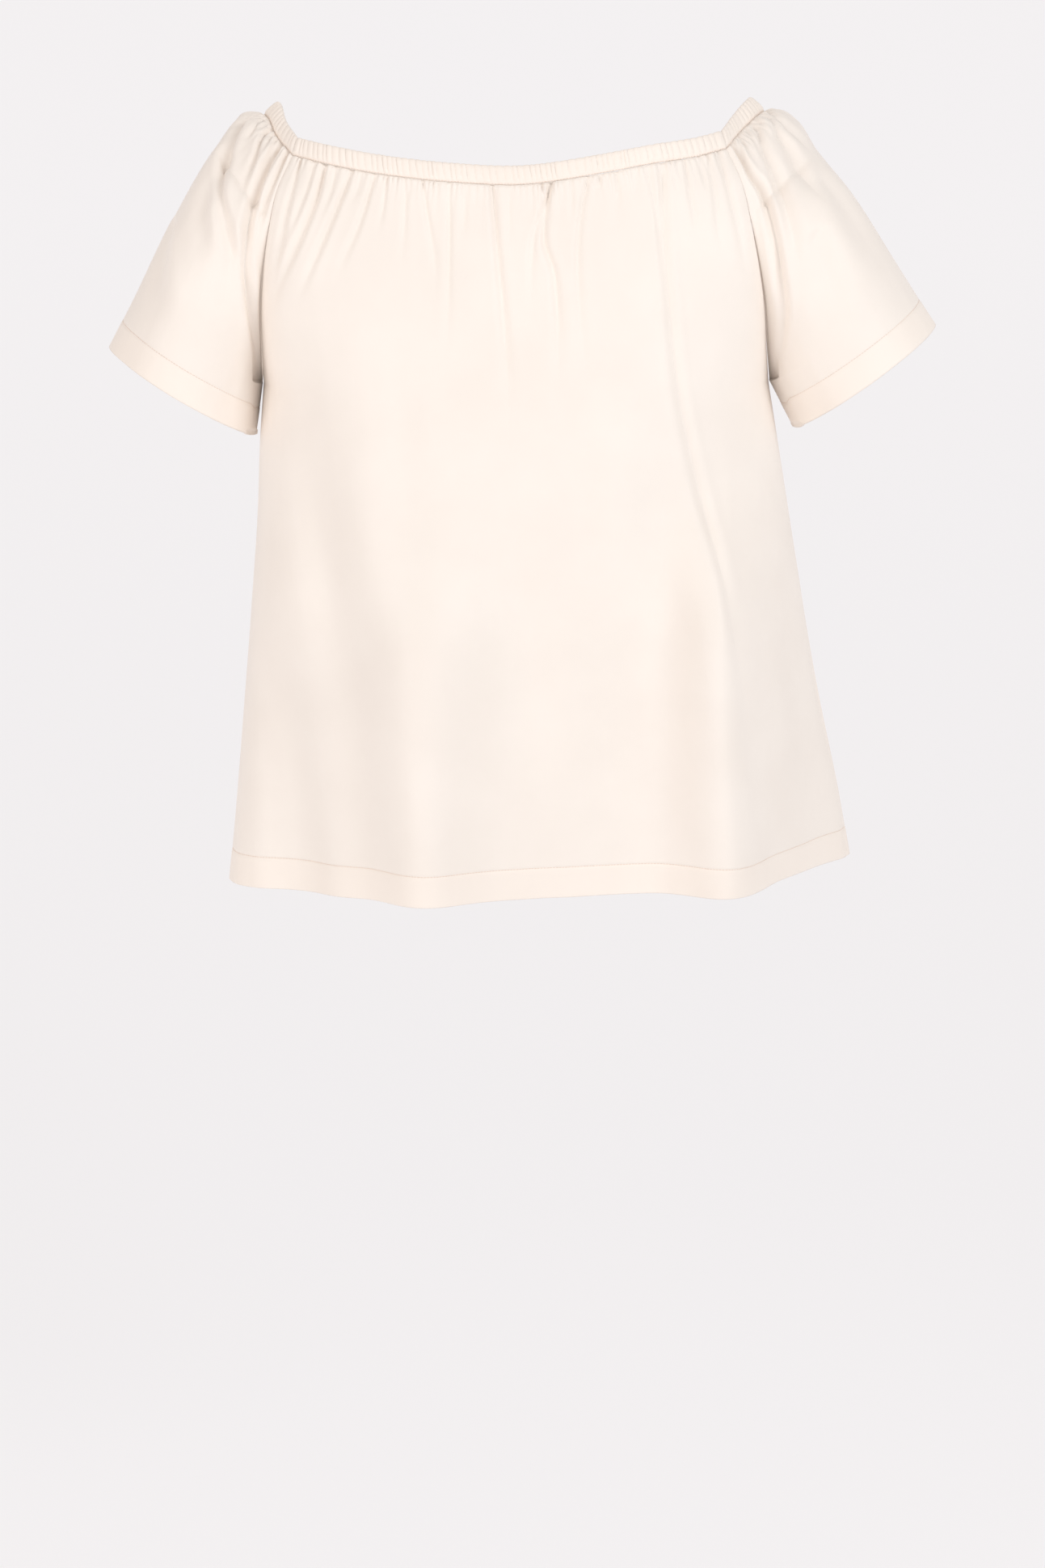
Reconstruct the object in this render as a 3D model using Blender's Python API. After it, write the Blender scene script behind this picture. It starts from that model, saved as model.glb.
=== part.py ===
"""An off-the-shoulder blouse, filled out as if worn, with nobody in it.

Frame: +X to the viewer's right, +Y away from the viewer, +Z up, in metres. The origin is the middle
of the neck opening, level with the top edge of the casing at the centre front.

Each panel is a sheet worked out on a grid of rows and columns, pushed in and out by its folds, and
given a wall. The panels share their seam lines, so they meet all along them with a small gap.
Tables are in millimetres, as a pattern cutter would write them.
"""
import math

import bpy
import numpy as np

# Driving sizes
MM = 0.001
SEAM_GAP = 0.3 * MM
CLOTH = 2.0 * MM
HEM_CLOTH = 3.0 * MM
BODY_HEM = 25.0 * MM
SLEEVE_HEM = 24.0 * MM
CASING_WIDTH = 15.0 * MM
CASING_THICKNESS = 3.0 * MM
HEM_DROP = 571.0 * MM

# How finely the panels are divided
RAGLAN_ROWS = 8
SIDE_ROWS = 10
UNDERARM_ROWS = 3
FRONT_COLUMNS = 52
BACK_COLUMNS = 40
SLEEVE_COLUMNS = 30
CASING_RIBS = {"front": 44, "right": 18, "back": 44, "left": 18}
RIB_HEIGHT = 0.9 * MM
RIB_HEIGHT_CHANGE = 0.25
RIB_WIDTH_CHANGE = 0.16
CHORD_ROOM = 0.25 * MM
ROW_POINTS = 161

# How the folds fade: over these shares of their length, and how much of a fold is there at its start
FADE_IN = 0.15
FADE_START = 0.6
SOFT_FADE_IN = 0.4
FADE_OUT = 0.35
GATHER_TOP = -30.0

# Colour of the cloth: a pale blush, smooth and a little shiny
BLUSH = (0.93, 0.83, 0.77, 1.0)

# Neckline at the lower edge of the casing: x, y, z, then how far the casing leans as it rises
NECK_COLUMNS = ("x", "y", "z", "lean_x", "lean_y")
NECK_FRONT = (
    (-175, -62, 9, 0.28, 0.40),
    (-152, -76, 3, 0.15, 0.30),
    (-101, -92, -6.5, 0.05, 0.26),
    (-50, -99, -12, 0.00, 0.26),
    (0, -100, -14, 0.00, 0.26),
    (67, -97, -5, -0.02, 0.26),
    (102, -89, 1.5, -0.08, 0.26),
    (141, -75, 8, -0.15, 0.30),
    (163, -62, 14, -0.28, 0.40),
)
NECK_RIGHT = (
    (163, -62, 14, -0.28, 0.40),
    (176, -35, 28, -0.42, 0.40),
    (191, -10, 41, -0.62, 0.15),
    (197, 10, 44, -0.78, -0.10),
    (192, 38, 27, -0.60, -0.35),
    (178, 62, 5, -0.30, -0.40),
)
NECK_BACK = (
    (178, 62, 5, -0.30, -0.40),
    (140, 82, -8, -0.10, -0.30),
    (70, 97, -20, 0.00, -0.26),
    (0, 101, -25, 0.00, -0.26),
    (-70, 98, -22, 0.00, -0.26),
    (-145, 82, -10, 0.10, -0.30),
    (-186, 62, 2, 0.30, -0.40),
)
NECK_LEFT = (
    (-186, 62, 2, 0.30, -0.40),
    (-198, 38, 24, 0.60, -0.35),
    (-202, 10, 41, 0.78, -0.10),
    (-197, -10, 38, 0.70, 0.15),
    (-189, -35, 24, 0.50, 0.35),
    (-175, -62, 9, 0.28, 0.40),
)

# Raglan seams from the neckline corner to the underarm: x, y, z and the way the seam faces
RAGLAN_COLUMNS = ("x", "y", "z", "face_x", "face_y", "face_z")
RAGLAN_FRONT_LEFT = (
    (-175, -62, 9, -0.28, -0.80, 0.40),
    (-187, -73, -19, -0.25, -0.95, 0.20),
    (-194, -71, -50, -0.20, -1.00, 0.00),
    (-201, -55, -97, -0.10, -0.95, -0.25),
    (-203, -26, -146, -0.05, -0.70, -0.70),
    (-204, 0, -170, 0.00, 0.00, -1.00),
)
RAGLAN_FRONT_RIGHT = (
    (163, -62, 14, 0.28, -0.80, 0.40),
    (174, -72, -10, 0.25, -0.95, 0.20),
    (184, -71, -50, 0.20, -1.00, 0.00),
    (194, -55, -100, 0.10, -0.95, -0.25),
    (199, -26, -146, 0.05, -0.70, -0.70),
    (202, 0, -168, 0.00, 0.00, -1.00),
)
RAGLAN_BACK_RIGHT = (
    (178, 62, 5, 0.28, 0.80, 0.40),
    (187, 75, -20, 0.25, 0.95, 0.20),
    (194, 76, -55, 0.20, 1.00, 0.00),
    (200, 60, -103, 0.10, 0.95, -0.25),
    (202, 28, -148, 0.05, 0.70, -0.70),
    (202, 0, -168, 0.00, 0.00, -1.00),
)
RAGLAN_BACK_LEFT = (
    (-186, 62, 2, -0.28, 0.80, 0.40),
    (-193, 75, -22, -0.25, 0.95, 0.20),
    (-199, 76, -57, -0.20, 1.00, 0.00),
    (-203, 60, -104, -0.10, 0.95, -0.25),
    (-204, 28, -149, -0.05, 0.70, -0.70),
    (-204, 0, -170, 0.00, 0.00, -1.00),
)

# Side seams from the underarm to the hem: x and y at each height
SIDE_COLUMNS = ("z", "left_x", "left_y", "right_x", "right_y")
SIDE_SEAMS = (
    (-169, -204, 0, 202, 0),
    (-215, -207, 0, 210, 8),
    (-268, -209, -2, 219.5, 20),
    (-354, -215.5, -6, 235, 38),
    (-424, -221.5, -10, 249, 53),
    (-516, -229.5, -17, 270, 71),
    (-571, -235, -20, 281, 85),
)

# Body sections: how far the middle of the front and of the back stands from the frame's XZ plane, and
# how boxy each is
SECTION_COLUMNS = ("down", "front", "front_square", "back", "back_square")
BODY_SECTIONS = (
    (0.00, 100, 2.0, 101, 2.0),
    (0.18, 118, 2.1, 116, 2.0),
    (0.32, 130, 2.2, 113, 2.1),
    (0.45, 131, 2.25, 115, 2.2),
    (0.65, 126, 2.2, 125, 2.2),
    (0.85, 116, 2.05, 131, 2.2),
    (1.00, 108, 2.0, 136, 2.2),
)
ARM_LEVEL = -150.0
ARM_CALM = 70.0
CALM_REACH = 34.0
EDGE_SHARE = 0.22
NECK_PULL = 0.45

# Sleeve sections: outer edge, then how far front and back stand out, and how boxy each is
SLEEVE_SECTION_COLUMNS = ("down", "outer_x", "outer_y", "outer_z", "front", "back", "square")
SLEEVE_LEFT_SECTIONS = (
    (0.00, -202, 6, 43, 61, 60, 2.0),
    (0.05, -214, 4, 44, 64, 62, 2.0),
    (0.11, -224, 4, 38, 66, 64, 2.0),
    (0.22, -240, 3, 17, 72, 70, 2.05),
    (0.45, -269, 2, -31, 76, 74, 2.1),
    (0.72, -298, 0, -87, 76, 74, 2.0),
    (1.00, -327, 0, -141, 76, 72, 1.85),
)
SLEEVE_RIGHT_SECTIONS = (
    (0.00, 197, 6, 45, 61, 60, 2.0),
    (0.05, 211, 4, 45, 64, 62, 2.0),
    (0.11, 223, 4, 37, 66, 64, 2.0),
    (0.22, 238, 3, 15, 72, 70, 2.05),
    (0.45, 267, 2, -22, 76, 74, 2.1),
    (0.72, 299.5, 0, -71, 74, 72, 2.0),
    (1.00, 335, 0, -124, 72, 70, 1.85),
)
UNDERARM_END = {"left": (-210, 0, -212), "right": (222, 0, -206)}
SLEEVE_CORE_TOP = {"left": (-160, 0, -36), "right": (155, 0, -36)}
SLEEVE_FRONT_DIP = 2.0
SLEEVE_END_PULL = 0.35
SLEEVE_NECK_PULL = 0.4
UNDERARM_SPREAD = 0.3
UNDERARM_SPREAD_REACH = 20.0
UNDERARM_FACE = (1.0, 0.0, -0.35)

# Folds on the front: where each starts, passes and ends, its half width and its depth
FOLD_COLUMNS = ("x0", "z0", "x1", "z1", "x2", "z2", "width", "depth")
FRONT_FOLDS = (
    (-152, 4, -176, -54, -194, -104, 5, 4.0),
    (-139, 0, -163, -50, -185, -104, 5, 3.5),
    (-119, -4, -146, -50, -163, -95, 5, 3.5),
    (-101, -6, -118, -40, -126, -80, 4, 2.5),
    (-73, -9, -62, -60, -60, -100, 5, 3.0),
    (-51, -11, -53, -80, -54, -148, 5, 2.5),
    (-34, -12, -33, -60, -33, -100, 4, 2.0),
    (-15, -14, -11, -100, -6, -211, 5, 4.0),
    (10, -14, 8, -50, 6, -90, 4, 2.0),
    (28, -10, 13, -58, 13, -115, 5, 3.5),
    (24, -10, 30, -104, 31, -175, 5, 4.0),
    (51, -6, 47, -104, 57, -175, 5, 3.0),
    (66, -3, 64, -45, 62, -90, 4, 2.0),
    (84, 0, 97, -32, 101, -64, 5, 2.5),
    (112, 4, 121, -190, 185, -571, 8, 4.0),
    (130, 6, 136, -50, 141, -110, 4, 2.0),
    (150, 10, 158, -80, 164, -170, 5, 3.0),
    (-175, -130, -143, -370, -118, -571, 22, 9.0),
    (-16, -200, 8, -390, 20, -500, 24, 5.0),
    (100, -180, 115, -330, 128, -480, 22, 4.0),
)
FRONT_SWELLS = (
    (-75, -260, -73, -430, -72, -571, 46, 32.0),
    (160, -230, 165, -420, 172, -571, 42, 60.0),
    (-192, -330, -186, -470, -180, -571, 32, -20.0),
    (238, -330, 247, -470, 255, -571, 24, -16.0),
    (70, -150, 80, -300, 84, -420, 30, 4.0),
)
BACK_FOLDS = (
    (-160, 0, -172, -60, -186, -120, 5, 3.5),
    (-136, -6, -152, -60, -166, -110, 5, 3.0),
    (-108, -12, -116, -80, -124, -160, 5, 3.0),
    (-84, -16, -88, -60, -92, -110, 4, 2.5),
    (-60, -20, -58, -110, -62, -230, 6, 4.0),
    (-34, -23, -36, -70, -38, -120, 4, 2.5),
    (-8, -25, -2, -90, -6, -170, 5, 3.0),
    (20, -24, 24, -140, 30, -300, 6, 4.0),
    (46, -22, 46, -70, 44, -120, 4, 2.5),
    (72, -20, 78, -100, 86, -190, 5, 3.5),
    (100, -15, 106, -60, 110, -110, 4, 2.5),
    (124, -9, 136, -70, 148, -140, 5, 3.0),
    (150, -2, 166, -60, 180, -120, 5, 3.5),
    (-120, -200, -132, -380, -142, -571, 26, 10.0),
    (120, -180, 142, -380, 160, -571, 26, 10.0),
    (10, -300, 14, -440, 20, -571, 24, 7.0),
)
BACK_SWELLS = (
    (-56, -260, -62, -420, -66, -571, 40, 14.0),
    (84, -260, 92, -420, 100, -571, 40, 14.0),
)

# Folds on a sleeve: across is 0 at the front seam and 1 at the back, down is 0 at the neck
SLEEVE_FOLD_COLUMNS = ("across0", "down0", "across1", "down1", "across2", "down2", "width", "depth")
SLEEVE_FOLDS = (
    (0.05, 0.02, 0.060, 0.45, 0.050, 0.86, 0.030, 6.0),
    (0.22, 0.02, 0.170, 0.34, 0.160, 0.66, 0.040, 5.5),
    (0.36, 0.02, 0.320, 0.22, 0.290, 0.42, 0.030, 2.5),
    (0.44, 0.02, 0.420, 0.40, 0.400, 0.80, 0.045, 3.0),
    (0.55, 0.02, 0.570, 0.30, 0.580, 0.55, 0.040, 2.5),
    (0.66, 0.02, 0.680, 0.40, 0.700, 0.80, 0.045, 4.0),
    (0.80, 0.02, 0.830, 0.35, 0.840, 0.70, 0.040, 4.5),
    (0.95, 0.02, 0.940, 0.45, 0.950, 0.86, 0.030, 6.0),
)


def column(table, columns, name):
    """One named column of a table, as an array."""
    return np.array(table, float)[:, columns.index(name)]


def smooth_run(knots, values, at):
    """A curve through the values at the knots, with the slope at each knot taken from its neighbours."""
    knots = np.asarray(knots, float)
    values = np.asarray(values, float)
    slope = np.gradient(values, knots, axis=0)
    at = np.clip(np.asarray(at, float), knots[0], knots[-1])
    k = np.clip(np.searchsorted(knots, at, side="right") - 1, 0, len(knots) - 2)
    span = knots[k + 1] - knots[k]
    f = (at - knots[k]) / span
    if values.ndim > 1:
        f = f[..., None]
        span = span[..., None]
    start = (1 + 2 * f) * (1 - f) ** 2 * values[k] + f * (1 - f) ** 2 * span * slope[k]
    end = f * f * (3 - 2 * f) * values[k + 1] - f * f * (1 - f) * span * slope[k + 1]
    return start + end


def ease(value):
    """Rises smoothly from 0 to 1 as value goes from 0 to 1."""
    value = np.clip(value, 0.0, 1.0)
    return value * value * (3 - 2 * value)


def unit(vectors):
    """Vectors scaled to length 1."""
    return vectors / np.maximum(np.linalg.norm(vectors, axis=-1, keepdims=True), 1e-9)


def along(points):
    """How far along a line of points each one lies, from 0 to 1."""
    steps = np.linalg.norm(np.diff(points, axis=-2), axis=-1)
    run = np.concatenate([np.zeros(steps.shape[:-1] + (1,)), np.cumsum(steps, axis=-1)], axis=-1)
    return run / run[..., -1:]


def run_through(table, columns, at):
    """A smooth line through the points of a table, at even shares of its length."""
    values = np.array(table, float)
    values[:, :3] *= MM
    dense = np.linspace(0, 1, 400)
    line = smooth_run(along(values[:, :3]), values, dense)
    share = along(line[:, :3])
    picked = np.stack([np.interp(at, share, line[:, i]) for i in range(line.shape[1])], axis=-1)
    return picked[..., :3], picked[..., 3:]


def neck_line(table, at):
    """Points under the casing, and the way the casing rises from each."""
    points, lean = run_through(table, NECK_COLUMNS, at)
    up = np.sqrt(np.maximum(1 - (lean ** 2).sum(axis=-1, keepdims=True), 0.04))
    return points, unit(np.concatenate([lean, up], axis=-1))


def signed_power(base, power):
    """The power of a number's size, with its sign kept."""
    return np.sign(base) * np.abs(base) ** power


def bow_row(left, right, calm_left, calm_right, stand, square, side):
    """A row from one side seam to the other that bows out, as a boxy half oval.

    The oval hangs between the calmed seam points. Near its ends it goes over to the true ones.
    """
    turn = np.linspace(math.pi, 0, ROW_POINTS)
    across = 0.5 + 0.5 * signed_power(np.cos(turn), 2 / square)
    depth = stand - side * (calm_left[1] + calm_right[1]) / 2
    row = calm_left + (calm_right - calm_left) * across[:, None]
    row[:, 1] += side * np.sin(turn) ** (2 / square) * depth
    where = along(row)
    row += (left - calm_left) * (1 - ease(where / EDGE_SHARE))[:, None]
    row += (right - calm_right) * (1 - ease((1 - where) / EDGE_SHARE))[:, None]
    return row


def calm_seam(line, raglan, hand):
    """A seam's points with the sharp turn in under the arm evened out.

    The depth y is blurred along the height with a bell, most at the level of the arm.
    """
    top = run_through(raglan, RAGLAN_COLUMNS, np.linspace(0, 1, ROW_POINTS))[0]
    depths = column(SIDE_SEAMS, SIDE_COLUMNS, "z")
    below = np.linspace(depths[0] - 3, depths[-1], ROW_POINTS)
    side_y = smooth_run(-depths, column(SIDE_SEAMS, SIDE_COLUMNS, hand + "_y"), -below)
    heights = np.concatenate([top[:, 2] / MM, below])
    values = np.concatenate([top[:, 1] / MM, side_y])
    even = np.linspace(heights[0], heights[-1], 2 * ROW_POINTS)
    values = np.interp(-even, -heights, values)
    z = line[:, 2] / MM
    weight = np.exp(-((z[:, None] - even[None]) / CALM_REACH) ** 2)
    blurred = (weight * values).sum(axis=1) / weight.sum(axis=1)
    calm = line.copy()
    calm[:, 1] += (blurred * MM - line[:, 1]) * np.exp(-((z - ARM_LEVEL) / ARM_CALM) ** 2)
    return calm


def even_row(row, shares):
    """The same row, read at the given shares of its length."""
    share = along(row)
    return np.stack([np.interp(shares, share, row[:, i]) for i in range(3)], axis=-1)


def body_panel(neck, raglan_left, raglan_right, side, columns):
    """The front (side -1) or back (side 1): rows from the neckline down to the hem.

    Each row bows out between its two seam points. The top row is then moved onto the neckline, and
    the rows under it follow less and less.
    """
    left, left_face = side_line(raglan_left, "left")
    right, right_face = side_line(raglan_right, "right")
    calm_left = calm_seam(left, raglan_left, "left")
    calm_right = calm_seam(right, raglan_right, "right")
    down = (left[0, 2] - left[:, 2]) / (left[0, 2] - left[-1, 2])
    word = "front" if side < 0 else "back"
    knots = column(BODY_SECTIONS, SECTION_COLUMNS, "down")
    stand = smooth_run(knots, column(BODY_SECTIONS, SECTION_COLUMNS, word), down) * MM
    square = smooth_run(knots, column(BODY_SECTIONS, SECTION_COLUMNS, word + "_square"), down)
    shares = np.linspace(0, 1, columns + 1)
    rows = np.stack([even_row(bow_row(*row, side), shares) for row in
                     zip(left, right, calm_left, calm_right, stand, square)])
    neck_points, neck_up = neck_line(neck, shares)
    shift = neck_points - rows[0]
    rows = rows + shift[None] * (1 - ease(down / NECK_PULL))[:, None, None]
    rows[:RAGLAN_ROWS + 1, 0] = left[:RAGLAN_ROWS + 1]
    rows[:RAGLAN_ROWS + 1, -1] = right[:RAGLAN_ROWS + 1]
    return rows, neck_up, {"left": left_face, "right": right_face}


def side_line(raglan, hand):
    """The raglan seam and the side seam under it as one line of points, and the way each faces.

    The last step of the side seam is the depth of the hem.
    """
    top, top_face = run_through(raglan, RAGLAN_COLUMNS, np.linspace(0, 1, RAGLAN_ROWS + 1))
    hem_top = 1 - BODY_HEM / (HEM_DROP + top[-1, 2])
    fall = np.append(np.linspace(0, hem_top, SIDE_ROWS)[1:], 1.0)
    z = top[-1, 2] + (-HEM_DROP - top[-1, 2]) * fall
    depths = column(SIDE_SEAMS, SIDE_COLUMNS, "z")
    x = smooth_run(-depths, column(SIDE_SEAMS, SIDE_COLUMNS, hand + "_x"), -z / MM) * MM
    y = smooth_run(-depths, column(SIDE_SEAMS, SIDE_COLUMNS, hand + "_y"), -z / MM) * MM
    low = np.stack([x, y, z], axis=-1)
    face = side_faces(low, -1 if hand == "left" else 1)
    return np.concatenate([top, low]), np.concatenate([top_face, face])


def side_faces(points, sign):
    """The way the side seam faces: down at the underarm, then soon straight out."""
    turn = ease(np.arange(1, len(points) + 1) / 2.0)[:, None]
    return unit((1 - turn) * np.array([0, 0, -1.0]) + turn * np.array([sign, 0, 0.0]))


def surface_out(rows, outward):
    """Unit normals of a grid, on the side given by the outward sign."""
    down = np.gradient(rows, axis=0)
    across = np.gradient(rows, axis=1)
    return unit(np.cross(across, down)) * outward


def rows_of(table, columns):
    """The rows of a table, each as a dictionary of its named columns."""
    return [dict(zip(columns, row)) for row in table]


def fold_height(x, z, table, sign):
    """How far folds push the cloth. Each follows a bent line down the panel, fades at both ends and
    is bell-shaped across. Lengths are in millimetres and sign is -1 for a valley."""
    height = np.zeros_like(x)
    for fold in rows_of(table, FOLD_COLUMNS):
        knots = (-fold["z0"], -fold["z1"], -fold["z2"])
        line = smooth_run(knots, (fold["x0"], fold["x1"], fold["x2"]), -z)
        reach = (fold["z0"] - z) / (fold["z0"] - fold["z2"])
        from_neck = fold["z0"] > GATHER_TOP
        fade_in = ease(reach / FADE_IN + FADE_START) if from_neck else ease(reach / SOFT_FADE_IN)
        to_hem = 1.0 if fold["z2"] <= -HEM_DROP / MM else 0.0
        fade_out = ease((1 - reach) / FADE_OUT + to_hem)
        bell = np.exp(-((x - line) / fold["width"]) ** 2)
        height += sign * fold["depth"] * bell * fade_in * fade_out
    return height * MM


def bend_edges(out, faces_left, faces_right):
    """Turns the wall's direction at each side edge to the way the shared seam faces."""
    out = out.copy()
    for edge, near, face in ((0, 1, faces_left), (-1, -2, faces_right)):
        out[:, edge] = unit(face)
        out[:, near] = unit(out[:, near] + 0.5 * unit(face))
    return out


def part_edges(rows, faces_first, faces_last, away, around):
    """Moves each side edge half the seam gap off its seam.

    Along the raglan the move is square to the way the seam faces, towards the away direction.
    Along the seam under it the move goes around the body or arm. At the underarm it does both.
    """
    rows = rows.copy()
    upper = slice(0, RAGLAN_ROWS + 1)
    lower = slice(RAGLAN_ROWS, None)
    for edge, faces in ((0, faces_first), (-1, faces_last)):
        line = rows[:, edge].copy()
        step = np.zeros_like(line)
        square = np.cross(faces[upper], unit(np.gradient(line[upper], axis=0)))
        square *= np.sign(square @ np.array(away[edge], float))[:, None]
        step[upper] += unit(square)
        tangent = unit(np.gradient(line[lower], axis=0))
        wanted = np.array(around[edge], float)
        step[lower] += unit(wanted - (tangent @ wanted)[:, None] * tangent)
        rows[:, edge] = line + step * SEAM_GAP / 2
    return rows


def walls(rows, out, thickness):
    """The outer and inner skins of a panel."""
    return rows, rows - out * thickness[:, None, None]


def split_quads(a, b, c, d):
    """Each four-sided face as two triangles, cut from its corner a to its corner c."""
    first = np.stack([a, b, c], -1).reshape(-1, 3)
    second = np.stack([a, c, d], -1).reshape(-1, 3)
    return np.concatenate([first, second])


def close_sheet(outer, inner):
    """A closed wall from two grids: both skins and a strip along each of the four edges.

    Two panels that share a seam cut the strips there along the same diagonals, from the outer
    skin down to the inner one, so that their edges stay apart where the wall twists.
    """
    height, width = outer.shape[:2]
    points = np.concatenate([outer.reshape(-1, 3), inner.reshape(-1, 3)])
    skin = np.arange(height * width).reshape(height, width)
    back = skin + height * width
    faces = [
        split_quads(skin[:-1, :-1], skin[1:, :-1], skin[1:, 1:], skin[:-1, 1:]),
        split_quads(back[:-1, :-1], back[:-1, 1:], back[1:, 1:], back[1:, :-1]),
        split_quads(skin[:-1, 0], back[:-1, 0], back[1:, 0], skin[1:, 0]),
        split_quads(skin[:-1, -1], skin[1:, -1], back[1:, -1], back[:-1, -1]),
        split_quads(skin[0, :-1], skin[0, 1:], back[0, 1:], back[0, :-1]),
        split_quads(skin[-1, :-1], back[-1, :-1], back[-1, 1:], skin[-1, 1:]),
    ]
    return points, np.concatenate(faces)


def make_piece(name, points, triangles):
    """A named object with the blush cloth. Its faces are turned round if they point inwards."""
    corners = points[triangles] - points.mean(axis=0)
    volume = (np.cross(corners[:, 0], corners[:, 1]) * corners[:, 2]).sum()
    if volume < 0:
        triangles = triangles[:, ::-1]
    mesh = bpy.data.meshes.new(name)
    mesh.from_pydata(points.tolist(), [], triangles.tolist())
    mesh.materials.append(blush_cloth())
    mesh.shade_smooth()
    piece = bpy.data.objects.new(name, mesh)
    bpy.context.scene.collection.objects.link(piece)
    return piece


def blush_cloth():
    """The one cloth of the blouse."""
    name = "blush_cloth"
    if name in bpy.data.materials:
        return bpy.data.materials[name]
    cloth = bpy.data.materials.new(name)
    cloth.use_nodes = True
    shader = cloth.node_tree.nodes["Principled BSDF"]
    shader.inputs["Base Color"].default_value = BLUSH
    shader.inputs["Roughness"].default_value = 0.55
    shader.inputs["Metallic"].default_value = 0.0
    return cloth


def build_body_panel(name, neck, raglan_left, raglan_right, side, columns, folds, swells):
    """The front or back panel, with its folds and its turned-up hem."""
    rows, neck_up, faces = body_panel(neck, raglan_left, raglan_right, side, columns)
    edge = np.minimum(np.arange(columns + 1), np.arange(columns, -1, -1))
    free = ease(edge / 2.0)[None]
    rows[..., 1] += side * free * fold_height(rows[..., 0] / MM, rows[..., 2] / MM, swells, 1)
    out = surface_out(rows, 1.0)
    if (out[len(out) // 2, columns // 2, 1] * side) < 0:
        out = -out
    neck_across = np.gradient(rows[0], axis=0)
    neck_out = unit(np.cross(neck_up, neck_across))
    neck_out *= np.sign((neck_out * out[0]).sum(-1, keepdims=True))
    out[0] = neck_out
    x = rows[..., 0] / MM
    z = rows[..., 2] / MM
    push = free * fold_height(x, z, folds, -1)
    rows = rows + out * push[..., None]
    thickness = np.full(len(rows), CLOTH)
    thickness[-2:] = HEM_CLOTH
    out = bend_edges(out, faces["left"], faces["right"])
    rows = part_edges(rows, faces["left"], faces["right"], ((1, 0, 0), (-1, 0, 0)),
                      ((0, side, 0), (0, side, 0)))
    return make_piece(name, *close_sheet(*walls(rows, out, thickness)))


def sleeve_rows(hand, neck, raglan_front, raglan_back, sections, columns):
    """A sleeve's rows from the neckline to its hem, each from the front seam over the arm to the back.

    The top row is moved onto the neckline, and the rows under it follow less and less.
    """
    share = np.linspace(0, 1, RAGLAN_ROWS + 1)
    front, front_face = run_through(raglan_front, RAGLAN_COLUMNS, share)
    back, back_face = run_through(raglan_back, RAGLAN_COLUMNS, share)
    armpit = front[-1]
    under = np.array(UNDERARM_END[hand]) * MM - armpit
    hem_top = 1 - SLEEVE_HEM / np.linalg.norm(under)
    low = armpit + under * np.append(np.linspace(0, hem_top, UNDERARM_ROWS)[1:], 1.0)[:, None]
    front = np.concatenate([front, low])
    back = np.concatenate([back, low])
    seam_length = np.cumsum(np.linalg.norm(np.diff(front, axis=0, prepend=front[:1]), axis=1))
    down = seam_length / seam_length[-1]
    knots = column(sections, SLEEVE_SECTION_COLUMNS, "down")
    section = {name: smooth_run(knots, column(sections, SLEEVE_SECTION_COLUMNS, name), down)
               for name in SLEEVE_SECTION_COLUMNS}
    outer = np.stack([section["outer_" + axis] for axis in "xyz"], axis=-1) * MM
    core = np.array(SLEEVE_CORE_TOP[hand]) * MM
    core = core + (armpit - core) * np.clip(down / down[RAGLAN_ROWS], 0, 1)[:, None]
    core[RAGLAN_ROWS:] = front[RAGLAN_ROWS:]
    shares = np.linspace(0, 1, columns + 1)
    rows = np.stack([
        even_row(sleeve_row(hand, front[k], back[k], outer[k], core[k], section["front"][k] * MM,
                            section["back"][k] * MM, section["square"][k], down[k]), shares)
        for k in range(len(down))])
    neck_points, neck_up = neck_line(neck, shares)
    shift = neck_points - rows[0]
    rows = rows + shift[None] * (1 - ease(down / SLEEVE_NECK_PULL))[:, None, None]
    rows[:, 0] = front
    rows[:, -1] = back
    inward = np.array(UNDERARM_FACE) * np.array([1.0 if hand == "left" else -1.0, 1.0, 1.0])
    under_face = unit(inward[None].repeat(UNDERARM_ROWS, axis=0))
    faces = {"front": np.concatenate([front_face, under_face]),
             "back": np.concatenate([back_face, under_face])}
    return rows, neck_up, faces, down, shares


def sleeve_row(hand, front, back, outer, core, front_out, back_out, square, down):
    """One row of a sleeve: part of a boxy oval between the outer edge and a line under the arm.

    It starts as far round as the seam's own depth asks. Its ends are then moved onto the seams, and
    the rest of the row follows less and less. Next to the body it is kept clear of the seam.
    """
    sign = -1 if hand == "left" else 1
    power = 2 / square
    begin = math.asin(min(1.0, abs(front[1]) / front_out) ** (1 / power))
    end = 2 * math.pi - math.asin(min(1.0, abs(back[1]) / back_out) ** (1 / power))
    turn = np.linspace(begin, end, ROW_POINTS)
    middle = (outer + core) / 2
    swing = signed_power(np.sin(turn), power)
    row = middle - signed_power(np.cos(turn), power)[:, None] * (outer - core) / 2
    row[:, 1] -= np.where(swing > 0, front_out, back_out) * swing
    row[:, 2] -= SLEEVE_FRONT_DIP * MM * np.clip(swing, 0, 1) * down
    where = along(row)
    row += (front - row[0]) * (1 - ease(where / SLEEVE_END_PULL))[:, None]
    row += (back - row[-1]) * (1 - ease((1 - where) / SLEEVE_END_PULL))[:, None]
    for seam, facing_front in ((front, True), (back, False)):
        away = np.minimum(np.abs(row[:, 1] - seam[1]), UNDERARM_SPREAD_REACH * MM)
        least = sign * seam[0] + UNDERARM_SPREAD * away
        same_side = (row[:, 1] < middle[1]) == facing_front
        row[:, 0] = np.where(same_side, sign * np.maximum(sign * row[:, 0], least), row[:, 0])
    return row


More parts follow.
